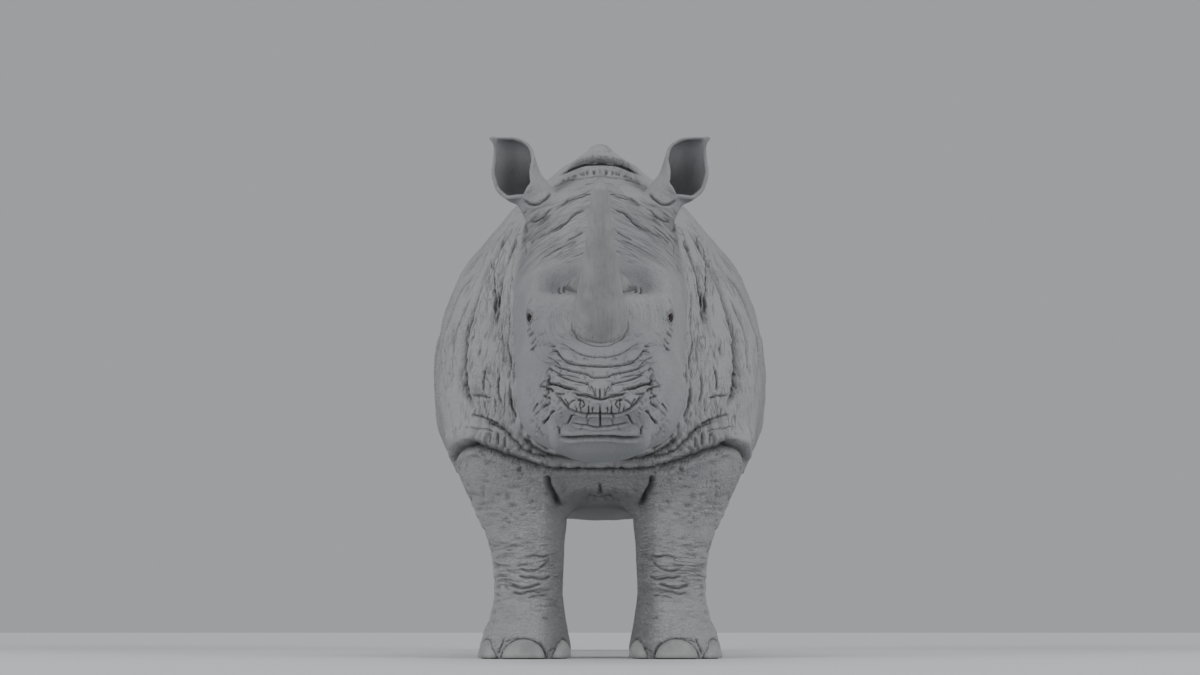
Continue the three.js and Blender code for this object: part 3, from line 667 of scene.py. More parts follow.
# Forehead, brow, temples, and the creases round the eye.
for fold in (
    (4.0, 8, (154, 1216), (113, 1236), (84, 1260), (69, 1275), (38, 1288)),
    (3.6, 7, (142, 1357), (169, 1322), (200, 1315), (228, 1334)),
    (3.2, 5, (143, 1298), (169, 1272), (205, 1264)),
    (3.0, 4, (111, 1319), (74, 1342), (48, 1346), (20, 1350)),
    (3.0, 5, (46, 1390), (12, 1397)),
    (3.2, 5, (92, 1243), (115, 1226), (138, 1216)),
    (3.2, 6, (166, 1220), (190, 1206), (204, 1201)),
    (3.0, 4, (24, 1349), (50, 1340), (87, 1327), (122, 1304)),
    (3.0, 4, (45, 1214), (70, 1193), (92, 1179)),
    (2.6, 3, (171, 1117), (114, 1152), (57, 1182)),
    (3.4, 5, (98, 1012), (104, 1020), (101, 1030), (92, 1030)),
    (2.8, 4, (108, 1006), (116, 1018), (112, 1033)),
    (2.6, 4, (200, 921), (193, 925), (184, 930)),
    (2.6, 4, (198, 905), (190, 909), (181, 913)),
    (2.8, 5, (196, 887), (187, 892), (176, 897)),
    (2.8, 5, (194, 868), (184, 872), (174, 879)),
    (2.6, 4, (191, 849), (183, 854), (172, 861)),
    (2.6, 4, (196, 968), (192, 980), (190, 992)),
):
    crease(0.75 * fold[0], fold[1], *fold[2:], wobble=5)


def brow_slope(x, z):
    return -34 * min(x / 60, 1)


strokes(21, 90, (8, 215, 1110, 1395), brow_slope, (40, 120), 1.4, 1.4, start=1.2, shade_amount=0.35)
strokes(22, 40, (60, 150, 900, 1040), lambda x, z: 180 + math.degrees(math.atan2(x, 930 - z)), (15, 40), 1.4, 1.0)
strokes(23, 30, (158, 200, 830, 960), lambda x, z: 150, (10, 26), 1.5, 2.0, shade_amount=0.7)
strokes(24, 80, (6, 125, 600, 800), lambda x, z: -78 + x / 3, (8, 22), 1.4, 2.2, shade_amount=0.7)
strokes(27, 70, (5, 130, 640, 860), lambda x, z: 4 + 0.32 * x, (14, 50), 1.3, 1.8, shade_amount=0.7)
strokes(28, 30, (90, 175, 590, 700), lambda x, z: -40 if z > 640 else 30, (12, 34), 1.6, 2.0, shade_amount=0.6)
strokes(29, 26, (105, 235, 1215, 1330), lambda x, z: -24, (25, 60), 2.2, 3.0, start=1.2, shade_amount=0.7)
strokes(25, 26, (125, 190, 600, 780), lambda x, z: -52, (10, 30), 1.5, 1.8, shade_amount=0.6)
strokes(26, 40, (150, 225, 640, 1040), lambda x, z: -80, (12, 40), 1.7, 1.2, shade_amount=0.4)
put_back(hide, clay)

# Nape and neck: the hump's overhang, a pleated roll before it, and creases down the sides of the neck.
for fold in (
    (9.0, 30, (112, 1500), (101, 1512), (74, 1515), (50, 1518), (27, 1519), (0, 1519)),
    (5.5, 13, (160, 1438), (130, 1430), (98, 1428), (63, 1422), (30, 1423), (0, 1427)),
    (4.0, 8, (182, 1422), (153, 1436)),
    (4.5, 8, (242, 1335), (249, 1301), (260, 1266), (268, 1240), (266, 1200)),
    (4.5, 8, (291, 1312), (304, 1277), (312, 1240)),
    (5.0, 11, (325, 1216), (324, 1147), (319, 1074), (318, 1030)),
    (4.5, 9, (265, 1150), (256, 1080), (250, 1035), (252, 980)),
    (4.0, 8, (273, 1094), (274, 1037), (268, 985)),
    (4.0, 7, (283, 950), (272, 895), (268, 850)),
    (4.5, 8, (355, 870), (355, 800)),
    (4.0, 8, (308, 845), (308, 800), (300, 760)),
    (4.5, 9, (274, 812), (268, 764), (250, 712)),
    (4.0, 7, (398, 735), (355, 722), (302, 692)),
    (4.0, 6, (396, 795), (355, 787), (330, 780)),
    (4.0, 6, (416, 696), (354, 688), (318, 676)),
):
    crease(0.62 * fold[0], 0.8 * fold[1], *fold[2:], start=0.88, wobble=6, banks=(0.3, 0.3), shade_amount=0.9)
for n in range(-9, 10):
    middle = 11.5 * n + 4 * math.sin(n * 2.3)
    pleat = ((middle, 1428 + abs(n)), (middle * 1.06, 1446), (middle * 1.1, 1462 - abs(n)))
    crease(2.4, 5 + 2 * math.sin(n * 1.7), *pleat, start=0.88, shade_amount=0.6)
below_edge = 1.515 - 0.35 * np.abs(clay.points[:, 0]) ** 1.6 - clay.points[:, 2]
gable = step(0.135, 0.095, np.abs(clay.points[:, 0])) * (clay.points[:, 1] > -0.80) * (clay.points[:, 1] < -0.30)
clay.points[:, 1] -= 0.013 * gable * np.exp(-(((below_edge + 0.016) / 0.013) ** 2))
clay.points[:, 1] += 0.028 * gable * np.exp(-(((below_edge - 0.008) / 0.009) ** 2))
# Painted shade in the hollow under the hump's overhanging edge.
clay.painted_shade = np.maximum(clay.painted_shade, gable * np.exp(-(((below_edge - 0.009) / 0.0105) ** 4)))
strokes(31, 110, (205, 350, 740, 1300), lambda x, z: -86, (25, 90), 2.0, 2.6, start=0.88, shade_amount=0.8)
strokes(32, 60, (240, 430, 680, 1000), lambda x, z: -80, (25, 60), 2.2, 2.4, start=0.8, shade_amount=0.7)
strokes(33, 16, (10, 110, 1540, 1610), lambda x, z: -20, (25, 60), 3.0, 1.6, start=0.8, shade_amount=0.15)
put_back(hide, clay)

# Throat, collar and chest: the groove under the jaw, a pleated collar, and the edge of skin over the arms.
for fold in (
    (7.0, 18, (255, 700), (237, 664), (212, 636), (174, 611), (137, 596), (90, 588), (40, 586), (0, 586)),
    (4.0, 8, (218, 674), (193, 645), (150, 615)),
    (5.0, 10, (362, 709), (318, 700), (280, 675), (255, 644), (224, 619), (174, 600), (113, 592)),
    (5.5, 12, (232, 588), (212, 581), (175, 568), (138, 562), (51, 559), (0, 560)),
    (8.0, 24, (418, 644), (400, 640), (359, 631), (325, 620), (288, 607), (243, 590), (202, 573), (162, 551)),
    (7.0, 20, (162, 552), (154, 516), (138, 485), (117, 452)),
    (4.0, 7, (0, 526), (0, 492)),
    (3.6, 5, (40, 484), (20, 487), (0, 483)),
    (3.6, 5, (334, 680), (331, 640)), (3.6, 5, (309, 678), (306, 633)), (3.6, 5, (287, 665), (287, 626)),
):
    crease(*fold, start=0.8, wobble=5, banks=(0.35, 0.2), shade_amount=0.8)
overhang = step(0.30, 0.40, np.abs(clay.points[:, 0])) * step(-0.62, -0.52, clay.points[:, 1])
overhang *= step(-0.30, -0.40, clay.points[:, 1])
above, below = (clay.points[:, 2] - 0.672) / 0.026, (clay.points[:, 2] - 0.600) / 0.030
clay.rise += overhang * (0.010 * np.exp(-above * above) - 0.008 * np.exp(-below * below))
crease(8.0, 20, (-560, 650), (-520, 643), (-470, 634), (-425, 616), (-385, 588), view="side", wobble=5,
       banks=(0.35, 0.2), shade_amount=0.8)
strokes(41, 50, (15, 250, 562, 598), lambda x, z: -88 + x * 0.12, (16, 32), 3.6, 4.0, start=0.8)
strokes(42, 40, (200, 400, 625, 720), lambda x, z: -70, (20, 50), 3.8, 4.0, start=0.8)
strokes(43, 16, (10, 140, 440, 560), lambda x, z: -60, (20, 50), 4.0, 3.0, start=0.8)
put_back(hide, clay)

# The arms and feet in front: pebbled above, slack level creases below, and clefts between the toes.
for fold in (
    (3.6, 7, (231, 302), (193, 307), (178, 303), (150, 309)),
    (3.2, 5, (256, 277), (218, 280)),
    (3.4, 6, (250, 271), (218, 260), (193, 265), (168, 280), (155, 300)),
    (4.0, 9, (253, 248), (223, 240), (203, 241), (173, 236), (142, 249)),
    (4.0, 9, (273, 221), (253, 213), (233, 209), (208, 214), (172, 225)),
    (3.4, 6, (268, 201), (237, 193), (220, 199), (208, 199), (172, 196)),
    (3.0, 4, (222, 178), (192, 188), (158, 189)),
    (3.2, 6, (172, 123), (158, 118)),
    (4.0, 8, (304, 12), (299, 30), (292, 46), (286, 62)),
    (4.0, 8, (164, 8), (168, 28), (176, 42), (184, 52)),
    (2.6, 5, (294, 43), (269, 56), (229, 59), (190, 49), (172, 32)),
    (2.6, 5, (366, 36), (333, 39), (303, 37)),
    (2.6, 5, (162, 16), (141, 30), (112, 38), (95, 40)),
):
    crease(0.7 * fold[0], *fold[1:], wobble=3, shade_amount=0.75)
strokes(51, 44, (120, 345, 80, 190), lambda x, z: 4 * math.sin(x / 25), (18, 55), 2.4, 2.0, shade_amount=0.45)
strokes(52, 70, (120, 335, 175, 345), lambda x, z: 6 * math.sin(x / 30), (30, 100), 1.9, 2.6, shade_amount=0.55)
strokes(56, 60, (125, 350, 330, 470), lambda x, z: 6 * math.sin(x / 35), (20, 70), 2.6, 2.3, shade_amount=0.4)
strokes(53, 60, (150, 420, 400, 610), lambda x, z: 10, (15, 50), 3.2, 2.8, start=0.75, shade_amount=0.5)
strokes(54, 44, (150, 420, 420, 610), lambda x, z: 95, (15, 40), 3.2, 2.6, start=0.75, shade_amount=0.5)
strokes(55, 34, (-470, -250, 180, 590), lambda y, z: 0, (30, 80), 4.5, 6.0, view="side", start=3.0)
put_back(hide, clay)

# Sides, back and hindquarters: the folds behind the shoulder and before the thigh, slack creases at
# elbow, knee and hock, the rump's folds beside the tail, and shallow hollows between ribs and hip.
for fold in (
    (11.0, 26, (-262, 452), (-212, 545), (-186, 670), (-200, 815), (-250, 950), (-300, 1040)),
    (8.0, 12, (-395, 1215), (-352, 1110), (-340, 985), (-362, 880)),
    (7.0, 12, (-330, 545), (-275, 590), (-232, 665)),
    (9.0, 16, (-560, 1330), (-530, 1180), (-515, 1020), (-525, 860), (-560, 730)),
    (7.0, 11, (-640, 1270), (-622, 1120), (-618, 980)),
    (6.0, 9, (-470, 1120), (-452, 990), (-455, 870)),
    (12.0, 28, (1042, 600), (985, 655), (940, 740), (918, 850), (932, 960), (965, 1040)),
    (8.0, 12, (1080, 700), (1035, 770), (1018, 860)),
    (9.0, 13, (1398, 935), (1335, 915), (1275, 870), (1225, 790), (1196, 690)),
    (7.0, 7, (1405, 1130), (1362, 1105), (1325, 1050), (1305, 960)),
    (7.0, 12, (1140, 560), (1185, 520), (1250, 505), (1310, 520)),
    (6.0, 10, (1150, 430), (1200, 405), (1260, 400), (1330, 420)),
    (5.5, 8, (1160, 350), (1220, 330), (1300, 345)),
    (5.0, 7, (1130, 250), (1200, 238), (1290, 250)),
    (5.0, 7, (1120, 160), (1200, 150), (1320, 165)),
    (6.0, 8, (-190, 500), (-60, 492), (90, 500)),
    (6.0, 8, (560, 470), (720, 490), (880, 540)),
):
    crease(*fold, view="side", wobble=9, banks=(0.35, 0.2), shade_amount=0.8)
for fold in (
    (9.0, 18, (60, 1290), (95, 1180), (108, 1060), (96, 940), (80, 860)),
    (6.0, 9, (150, 1260), (185, 1150), (190, 1040)),
    (8.0, 14, (250, 880), (190, 850), (140, 800)),
    (6.0, 9, (370, 560), (300, 545), (220, 555)),
    (6.0, 9, (360, 420), (290, 405), (210, 420)),
):
    crease(*fold, view="back", wobble=8, banks=(0.3, 0.3), shade_amount=0.8)
strokes(61, 60, (-620, -330, 620, 1400), lambda y, z: -84, (40, 110), 5.0, 3.6, view="side")
strokes(62, 60, (930, 1400, 640, 1200), lambda y, z: 62, (30, 90), 5.0, 3.0, view="side")
strokes(63, 70, (-180, 900, 520, 1350), lambda y, z: -80, (40, 120), 5.5, 2.4, view="side")
strokes(64, 40, (1100, 1400, 90, 600), lambda y, z: 4, (40, 110), 4.5, 4.0, view="side")
strokes(65, 40, (-500, -300, 90, 440), lambda y, z: 3, (40, 90), 4.5, 3.6, view="side")
strokes(66, 40, (130, 480, 60, 600), lambda x, z: 3, (40, 90), 4.5, 4.0, view="back")
strokes(67, 50, (20, 420, 700, 1350), lambda x, z: -76, (40, 100), 5.0, 3.0, view="back")
for y_mid, z_mid, long, high, lift in (
    (1.02, 1.34, 0.10, 0.09, 0.020), (0.84, 1.16, 0.16, 0.16, -0.016), (-0.34, 1.28, 0.13, 0.20, 0.014),
    (0.30, 0.80, 0.45, 0.20, 0.012), (1.17, 0.92, 0.16, 0.20, 0.016), (-0.10, 1.10, 0.10, 0.25, -0.008),
):
    dy, dz = (clay.points[:, 1] - y_mid) / long, (clay.points[:, 2] - z_mid) / high
    clay.rise += lift * np.exp(-dy * dy - dz * dz) * step(0.08, 0.30, np.abs(clay.points[:, 0]))
ribs = np.cos((clay.points[:, 1] + 0.25 * clay.points[:, 2]) * 2 * math.pi / 0.085)
over_ribs = step(-0.15, 0.05, clay.points[:, 1]) * step(0.80, 0.55, clay.points[:, 1])
over_ribs *= step(0.60, 0.80, clay.points[:, 2]) * step(1.40, 1.20, clay.points[:, 2])
clay.rise += 0.0013 * ribs * over_ribs
put_back(hide, clay)

# The soles are flat on the ground. Shade is painted on the skin where it meets each nail.
TOES = (("inner", -56, 0.048), ("middle", 0, 0.064), ("outer", 56, 0.048))  # turn on the foot in degrees, half width
NAIL_DEPTH, NAIL_HEIGHT = 0.026, 0.058
NAILS = [
    (f"{leg}_{toe}_{side}", sign, turn, half_width)
    for side, sign in SIDES
    for leg in ("foreleg", "hindleg")
    for toe, turn, half_width in TOES
]


def nail_root(name):
    """The middle of a nail, on the ground."""
    low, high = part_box("nail_" + name)
    return Vector(((low.x + high.x) / 2, (low.y + high.y) / 2, 0))


clay.points[:, 2] = np.maximum(clay.points[:, 2], 0)
for name, sign, turn, half_width in NAILS:
    away = clay.points - np.array(nail_root(name))
    a = math.radians(sign * turn)
    across = (away[:, 0] * math.cos(a) + away[:, 1] * math.sin(a)) / half_width
    fore = (away[:, 1] * math.cos(a) - away[:, 0] * math.sin(a)) / NAIL_DEPTH
    beyond = np.sqrt(across**2 + fore**2 + (away[:, 2] / NAIL_HEIGHT) ** 2) - 1
    clay.painted_shade = np.maximum(clay.painted_shade, 0.75 * np.exp(-((beyond / 0.07) ** 2)))
put_back(hide, clay)


def thinned(mesh, most, keep):
    """The mesh with at most so many triangles, its points kept where keep is high and it bends most."""
    body = placed(mesh.name, mesh)
    group = body.vertex_groups.new(name="keep")
    levels = np.round(keep * 8).astype(int)
    for level in np.unique(levels):
        group.add(np.flatnonzero(levels == level).tolist(), float(level / 8), "REPLACE")
    fewer = body.modifiers.new("fewer", "DECIMATE")
    fewer.ratio = most / (2 * len(mesh.polygons))
    fewer.vertex_group = "keep"
    fewer.vertex_group_factor = 1e-4
    fewer.invert_vertex_group = True
    return worked(body)


MOST_TRIANGLES = 196000


def spread(mesh, name, values):
    """Stores a value for each point of a mesh, for its finish to read."""
    layer = mesh.attributes.new(name, "FLOAT", "POINT")
    layer.data.foreach_set("value", values.astype(np.float32))


def ear_depth(points):
    """How far up an ear each point is, and how deep in its cup."""
    away = np.column_stack([np.abs(points[:, 0]), points[:, 1:]]) - np.array(EAR_ROOT)
    up, out, fore = (away @ np.array(way) for way in (EAR_AXIS, EAR_ACROSS, EAR_MOUTH))
    heights, radii, _, _, asides = zip(*EAR_SECTIONS)
    out = out - np.interp(up, heights, asides)
    radius = np.interp(up, heights, radii)
    apart = np.hypot(out, fore)
    risen = step(0.03, 0.08, up) * step(0.14, 0.11, apart) * (np.abs(points[:, 1] - EAR_ROOT.y) < 0.14)
    cup = step(0, -0.004, apart - radius) * step(0.095, 0.11, up) * risen
    deep = step(0.02, -0.04, fore) * step(0.27, 0.15, up) * step(0.05, -0.03, out)
    return risen, cup * (0.35 + 0.65 * deep)


# The painted shade of folds, lids, hump and nails goes to the finish as the fold value.
spread(hide, "fold", np.clip(clay.painted_shade, 0, 1))
risen, cupped = ear_depth(clay.points)
spread(hide, "ear", risen)
# The cup value is used to paint shade deep inside each ear.
spread(hide, "cup", cupped)
# Painted shade: how far each point faces down, for the finish to darken undersides.
spread(hide, "under", step(0.0, 1.0, -clay.normals[:, 2]))
x, y, z = clay.points.T
face = step(-0.72, -0.95, y)
front = step(-0.30, -0.42, y)
by_eye = step(0.055, 0.040, np.linalg.norm(np.column_stack([np.abs(x), y, z]) - np.array(EYE), axis=1))
muzzle = step(-1.05, -1.15, y)
hide = thinned(hide, MOST_TRIANGLES, (0.20 + 0.16 * front + 0.20 * face + 0.30 * muzzle).clip(by_eye))
hide.name = "hide"
skin = placed("hide", hide)
hide.shade_smooth()


class Paint:
    """One socket in a finish, so that sums on sockets are written as sums."""

    def __init__(self, stuff, socket):
        self.stuff, self.socket = stuff, socket

    def math(self, operation, *others):
        settings = {"operation": operation}
        return self.stuff.node("ShaderNodeMath", settings, {n: v for n, v in enumerate((self, *others))})[0]

    def __add__(self, other): return self.math("ADD", other)
    def __radd__(self, other): return self.math("ADD", other)
    def __sub__(self, other): return self.math("SUBTRACT", other)
    def __rsub__(self, other): return (self * -1) + other
    def __mul__(self, other): return self.math("MULTIPLY", other)
    def __rmul__(self, other): return self.math("MULTIPLY", other)
    def __truediv__(self, other): return self.math("DIVIDE", other)
    def __abs__(self): return self.math("ABSOLUTE")
    def least(self, other): return self.math("MINIMUM", other)
    def most(self, other): return self.math("MAXIMUM", other)
    def power(self, other): return self.math("POWER", other)

    def rising(self, low, high):
        """0 below low and 1 above high, smooth between; low may be the greater."""
        settings = {"interpolation_type": "SMOOTHSTEP", "clamp": True}
        inputs = {"Value": self, "From Min": low, "From Max": high}
        if low > high:
            inputs = {"Value": self, "From Min": high, "From Max": low, "To Min": 1, "To Max": 0}
        return self.stuff.node("ShaderNodeMapRange", settings, inputs)[0]


class Finish:
    """A material that is built up by node."""

    def __init__(self, name):
        self.material = bpy.data.materials.new(name)
        self.material.use_nodes = True
        self.tree = self.material.node_tree
        self.shader = self.tree.nodes["Principled BSDF"]

    def node(self, kind, settings=None, inputs=None):
        """Adds a node: its settings first, then the value or link of each socket."""
        made = self.tree.nodes.new(kind)
        for name, value in (settings or {}).items():
            setattr(made, name, value)
        for name, value in (inputs or {}).items():
            self.feed(made.inputs[name], value)
        return [Paint(self, socket) for socket in made.outputs if socket.enabled]

    def feed(self, socket, value):
        if isinstance(value, Paint):
            self.tree.links.new(value.socket, socket)
        else:
            socket.default_value = value

    def set(self, name, value):
        self.feed(self.shader.inputs[name], value)

    def stored(self, name):
        return self.node("ShaderNodeAttribute", {"attribute_name": name})[2]

    def place(self):
        """The place on the piece as a vector, and its three parts."""
        socket = [s for s in self.node("ShaderNodeTexCoord") if s.socket.name == "Object"][0]
        return socket, self.node("ShaderNodeSeparateXYZ", None, {0: socket})

    def at(self, x, y, z):
        return self.node("ShaderNodeCombineXYZ", None, {0: x, 1: y, 2: z})[0]

    def noise(self, vector, scale, detail=2.0, rough=0.5):
        inputs = {"Vector": vector, "Scale": scale, "Detail": detail, "Roughness": rough}
        return self.node("ShaderNodeTexNoise", {"noise_dimensions": "3D"}, inputs)[0]

    def mixed(self, share, one, other):
        inputs = {0: share, 6: one, 7: other}
        return self.node("ShaderNodeMix", {"data_type": "RGBA"}, inputs)[-1]

    def cracks(self, vector, scale, width, detail=1.0):
        """Fine lines, 1 in the middle: where a noise passes through its middle value."""
        return abs(self.noise(vector, scale, detail) - 0.5).rising(width, 0.0)

    def bump(self, height, distance, strength=1.0):
        return self.node("ShaderNodeBump", None, {"Strength": strength, "Distance": distance, "Height": height})[0]


def hide_finish():
    """Dusty grey skin: level creases on the legs, upright ones on the neck, slanting ones on the brow, rings
    round the nose horn, and small plates parted by cracks everywhere else. Shade is painted into folds, cracks,
    ear cups and undersides, and light onto body and legs."""
    stuff = Finish("grey_hide")
    place, (x, y, z) = stuff.place()
    out = abs(x)
    fold, ear, cup, under = (stuff.stored(name) for name in ("fold", "ear", "cup", "under"))
    warp = (stuff.noise(place, 9, 3) - 0.5) * 0.030
    level = stuff.cracks(stuff.at(x * 8, y * 8, (z + warp) * 58), 1.0, 0.055)
    level_fine = stuff.cracks(stuff.at(x * 20, y * 20, (z + warp) * 150), 1.0, 0.10)
    upright = stuff.cracks(stuff.at((x + warp) * 48, (y + warp) * 48, z * 13), 1.0, 0.050)
    upright_fine = stuff.cracks(stuff.at((x + warp) * 110, (y + warp) * 110, z * 34), 1.0, 0.10)
    slant = z + out * 0.62 + warp * 0.7
    brow = stuff.cracks(stuff.at(x * 4, y * 2, slant * 85), 1.0, 0.024, 1.0)
    brow_fine = stuff.cracks(stuff.at(x * 13, y * 5, slant * 170), 1.0, 0.07)
    up = z - 0.93
    ring = (out * out + up * up).power(0.5) + warp * 0.5
    rings = stuff.cracks(stuff.at(x * 7, y * 5, ring * 150), 1.0, 0.08)
    stretched = stuff.at(x + warp, y + warp, z * 1.35 - warp)
    cells = stuff.node("ShaderNodeTexVoronoi", {"feature": "DISTANCE_TO_EDGE"}, {"Vector": stretched, "Scale": 62})[0]
    plates = cells.rising(0.22, 0.0)
    small = stuff.node("ShaderNodeTexVoronoi", {"feature": "DISTANCE_TO_EDGE"}, {"Vector": stretched, "Scale": 190})[0]
    small = small.rising(0.25, 0.0)

    head = y.rising(-0.70, -0.82)
    forehead = head * z.rising(1.05, 1.14) * (1 - ear)
    neck = y.rising(-0.82, -0.70) * y.rising(-0.25, -0.45) * z.rising(0.60, 0.70) * (1 - ear)
    leg = z.rising(0.56, 0.44)
    face = head * (1 - forehead) * (1 - ear)
    body = (1 - head) * (1 - ear)
    broken = stuff.noise(place, 13, 2).rising(0.42, 0.66)
    patchy = stuff.noise(place, 5.5, 2).rising(0.36, 0.62)
    dark = (forehead * brow * 0.8 * stuff.noise(place, 10, 2).rising(0.34, 0.52)).most(neck * upright * broken)
    dark = dark.most(leg * level * broken * z.rising(0.10, 0.18) * z.rising(0.42, 0.30))
    faint = (forehead * brow_fine).most(neck * upright_fine * patchy).most(leg * level_fine * patchy)
    faint = faint.most(face * rings * 0.8 * patchy * z.rising(0.70, 0.80))
    faint = faint.most(small * (0.35 + body * 0.40 - neck * 0.40))
    height = stuff.noise(place, 380, 2) * 0.16 + stuff.noise(place, 85, 3) * 0.50 * (1 - ear * 0.8)
    height = height + face * stuff.noise(place, 160, 3) * 0.35 - dark * 0.55 - faint * 0.34
    height = height - body * plates * (patchy * 0.5 + 0.5) * (0.50 - neck * 0.36)
    stuff.set("Normal", stuff.bump(height, 0.0062, 1.0))

    dust = stuff.noise(place, 3.2, 4, 0.6)
    grey = stuff.mixed(dust.rising(0.35, 0.68), (0.265, 0.272, 0.285, 1), (0.320, 0.326, 0.335, 1))
    speck = stuff.noise(place, 120, 3).rising(0.50, 0.72)
    grey = stuff.mixed(speck * 0.28, grey, (0.19, 0.195, 0.205, 1))
    # Painted shade in the fine cracks and between the plates.
    grey = stuff.mixed(faint * 0.24 + body * plates * 0.12, grey, (0.10, 0.10, 0.105, 1))
    # Painted light: the body and legs are made paler than the head, as if more brightly lit.
    grey = stuff.mixed((leg * 0.75).most(body * 0.55), grey, (0.415, 0.420, 0.430, 1))
    # Painted shade on the undersides and on the chest between the forelegs, which face down.
    chest = z.rising(0.63, 0.53) * out.rising(0.20, 0.13) * y.rising(-0.80, -0.66) * y.rising(-0.1, -0.3)
    grey = stuff.mixed((under * 0.45).most(chest * 0.62), grey, (0.12, 0.122, 0.128, 1))
    # Painted shade along the dark crease lines of brow, neck and legs.
    grey = stuff.mixed(dark * 0.36, grey, (0.06, 0.06, 0.063, 1))
    # Painted shade deep in each ear's cup.
    grey = stuff.mixed(cup * 0.90, grey, (0.040, 0.040, 0.043, 1))
    # Painted shade: the folds darkened nearly to black.
    grey = stuff.mixed(fold, grey, (0.020, 0.019, 0.019, 1))
    stuff.set("Base Color", grey)
    stuff.set("Roughness", stuff.noise(place, 40, 2) * 0.20 + 0.62)
    stuff.shader.inputs["Specular IOR Level"].default_value = 0.35
    return stuff.material


hide.materials.clear()
hide.materials.append(hide_finish())
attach(skin, "root")
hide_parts(*FLESH, "ear_left", "ear_right")

# ---- The horns ------------------------------------------------------------------------------------
# Solid fibre with no bone in it, grown out of the skin over nose and brow: frayed and ringed at its
# foot, rubbed smooth above. Each is swept up a curve from an oval foot to a blunt tip.

HORN_SPINES = {
    # the curve's four handles up the face and out of it
    "horn_front": ((0.264, 0.032), (0.236, 0.220), (0.252, 0.400), (0.318, 0.536)),
    "horn_rear": ((0.476, -0.020), (0.466, 0.070), (0.466, 0.140), (0.482, 0.208)),
}
HORN_WIDTHS = {
    "horn_front": [(0, 0.080), (0.12, 0.076), (0.3, 0.061), (0.55, 0.042), (0.8, 0.029), (0.95, 0.021), (1, 0.019)],
    "horn_rear": [(0, 0.106), (0.1, 0.101), (0.2, 0.082), (0.31, 0.063), (0.53, 0.047), (0.8, 0.029), (1, 0.019)],
}
HORN_DEPTHS = {
    "horn_front": [(0, 0.104), (0.12, 0.096), (0.3, 0.075), (0.55, 0.050), (0.8, 0.034), (0.95, 0.023), (1, 0.020)],
    "horn_rear": [(0, 0.090), (0.15, 0.074), (0.24, 0.060), (0.36, 0.050), (0.55, 0.042), (0.8, 0.029), (1, 0.020)],
}
HORN_PINCH = {"horn_front": 1.0, "horn_rear": 1.75}  # above 1, the foot is drawn out to points at its sides
HORN_FOOT = {"horn_front": 0.26, "horn_rear": 0.45}  # how far up each is frayed
HORN_SIDES = 140
HORN_RINGS = 200


def horn(name):
    """A drum with many rings, each moved to its place up the curve, with fibres raised in its wall."""
    handles = [face_point(0, u, v) for u, v in HORN_SPINES[name]]
    spine = interpolate_bezier(*handles, 200)
    form = bmesh.new()
    bmesh.ops.create_cone(form, cap_ends=True, segments=HORN_SIDES, radius1=1, radius2=1, depth=1)
    upright = [edge for edge in form.edges if abs(edge.verts[0].co.z - edge.verts[1].co.z) > 0.5]
    bmesh.ops.subdivide_edges(form, edges=upright, cuts=HORN_RINGS)
    rounds = np.array([(v.co.x, v.co.y, v.co.z + 0.5) for v in form.verts])
    angle, t = np.arctan2(rounds[:, 1], rounds[:, 0]), rounds[:, 2]
    round_it = np.column_stack([np.cos(angle), np.sin(angle), np.zeros(len(t))])
    upwards = t[:, None] * (0, 0, 1.0)
    fibres = 0.6 * noise(round_it * 26 + upwards * 2.2, 3) + 0.4 * noise(round_it * 55 + upwards * 5, 4)
    rings = noise(np.column_stack([angle * 0.5, t * 34, t * 0]), 5)
    rings += 0.5 * noise(np.column_stack([angle, t * 80, t * 0]), 6)
    lumps = noise(round_it * 2.2 + upwards * 6, 7)
    pits = np.minimum(noise(round_it * 13 + upwards * 24, 8) + 0.12, 0)
    foot = step(0.42, 0.02, t)
    rough = 0.0012 * fibres * (0.35 + 0.65 * foot) + 0.0016 * rings * foot
    rough += 0.0035 * lumps * (0.3 + foot) + 0.006 * pits * foot**2
    for vert, (x, y, share), out in zip(form.verts, rounds, rough):
        reach = 1 - (1 - share) ** 1.15
        place = reach * (len(spine) - 1)
        n = min(int(place), len(spine) - 2)
        along = (spine[n + 1] - spine[n]).normalized()
        centre = spine[n].lerp(spine[n + 1], place - n)
        blunt = math.sqrt(max(1 - max((reach - 0.955) / 0.045, 0) ** 2, 0.0004))
        wide, deep = curve(HORN_WIDTHS[name], reach) * blunt, curve(HORN_DEPTHS[name], reach) * blunt
        pinch = HORN_PINCH[name] + (1 - HORN_PINCH[name]) * min(reach / 0.4, 1)
        x, y = math.copysign(abs(x) ** pinch, x), math.copysign(abs(y) ** pinch, y)
        grow = min(wide, deep) / 0.06
        grow = 1 + out * min(grow, 1) / max(wide, 0.01)
        vert.co = centre + Vector((wide * x * grow, 0, 0)) + Vector((0, -along.z, along.y)) * (deep * y * grow)
    bmesh.ops.recalc_face_normals(form, faces=form.faces)
    mesh = mesh_of(form, name)
    spread(mesh, "foot", step(HORN_FOOT[name], 0.08, t + 0.03 * noise(round_it * 7, 9)))
    mesh.shade_smooth()
    return mesh


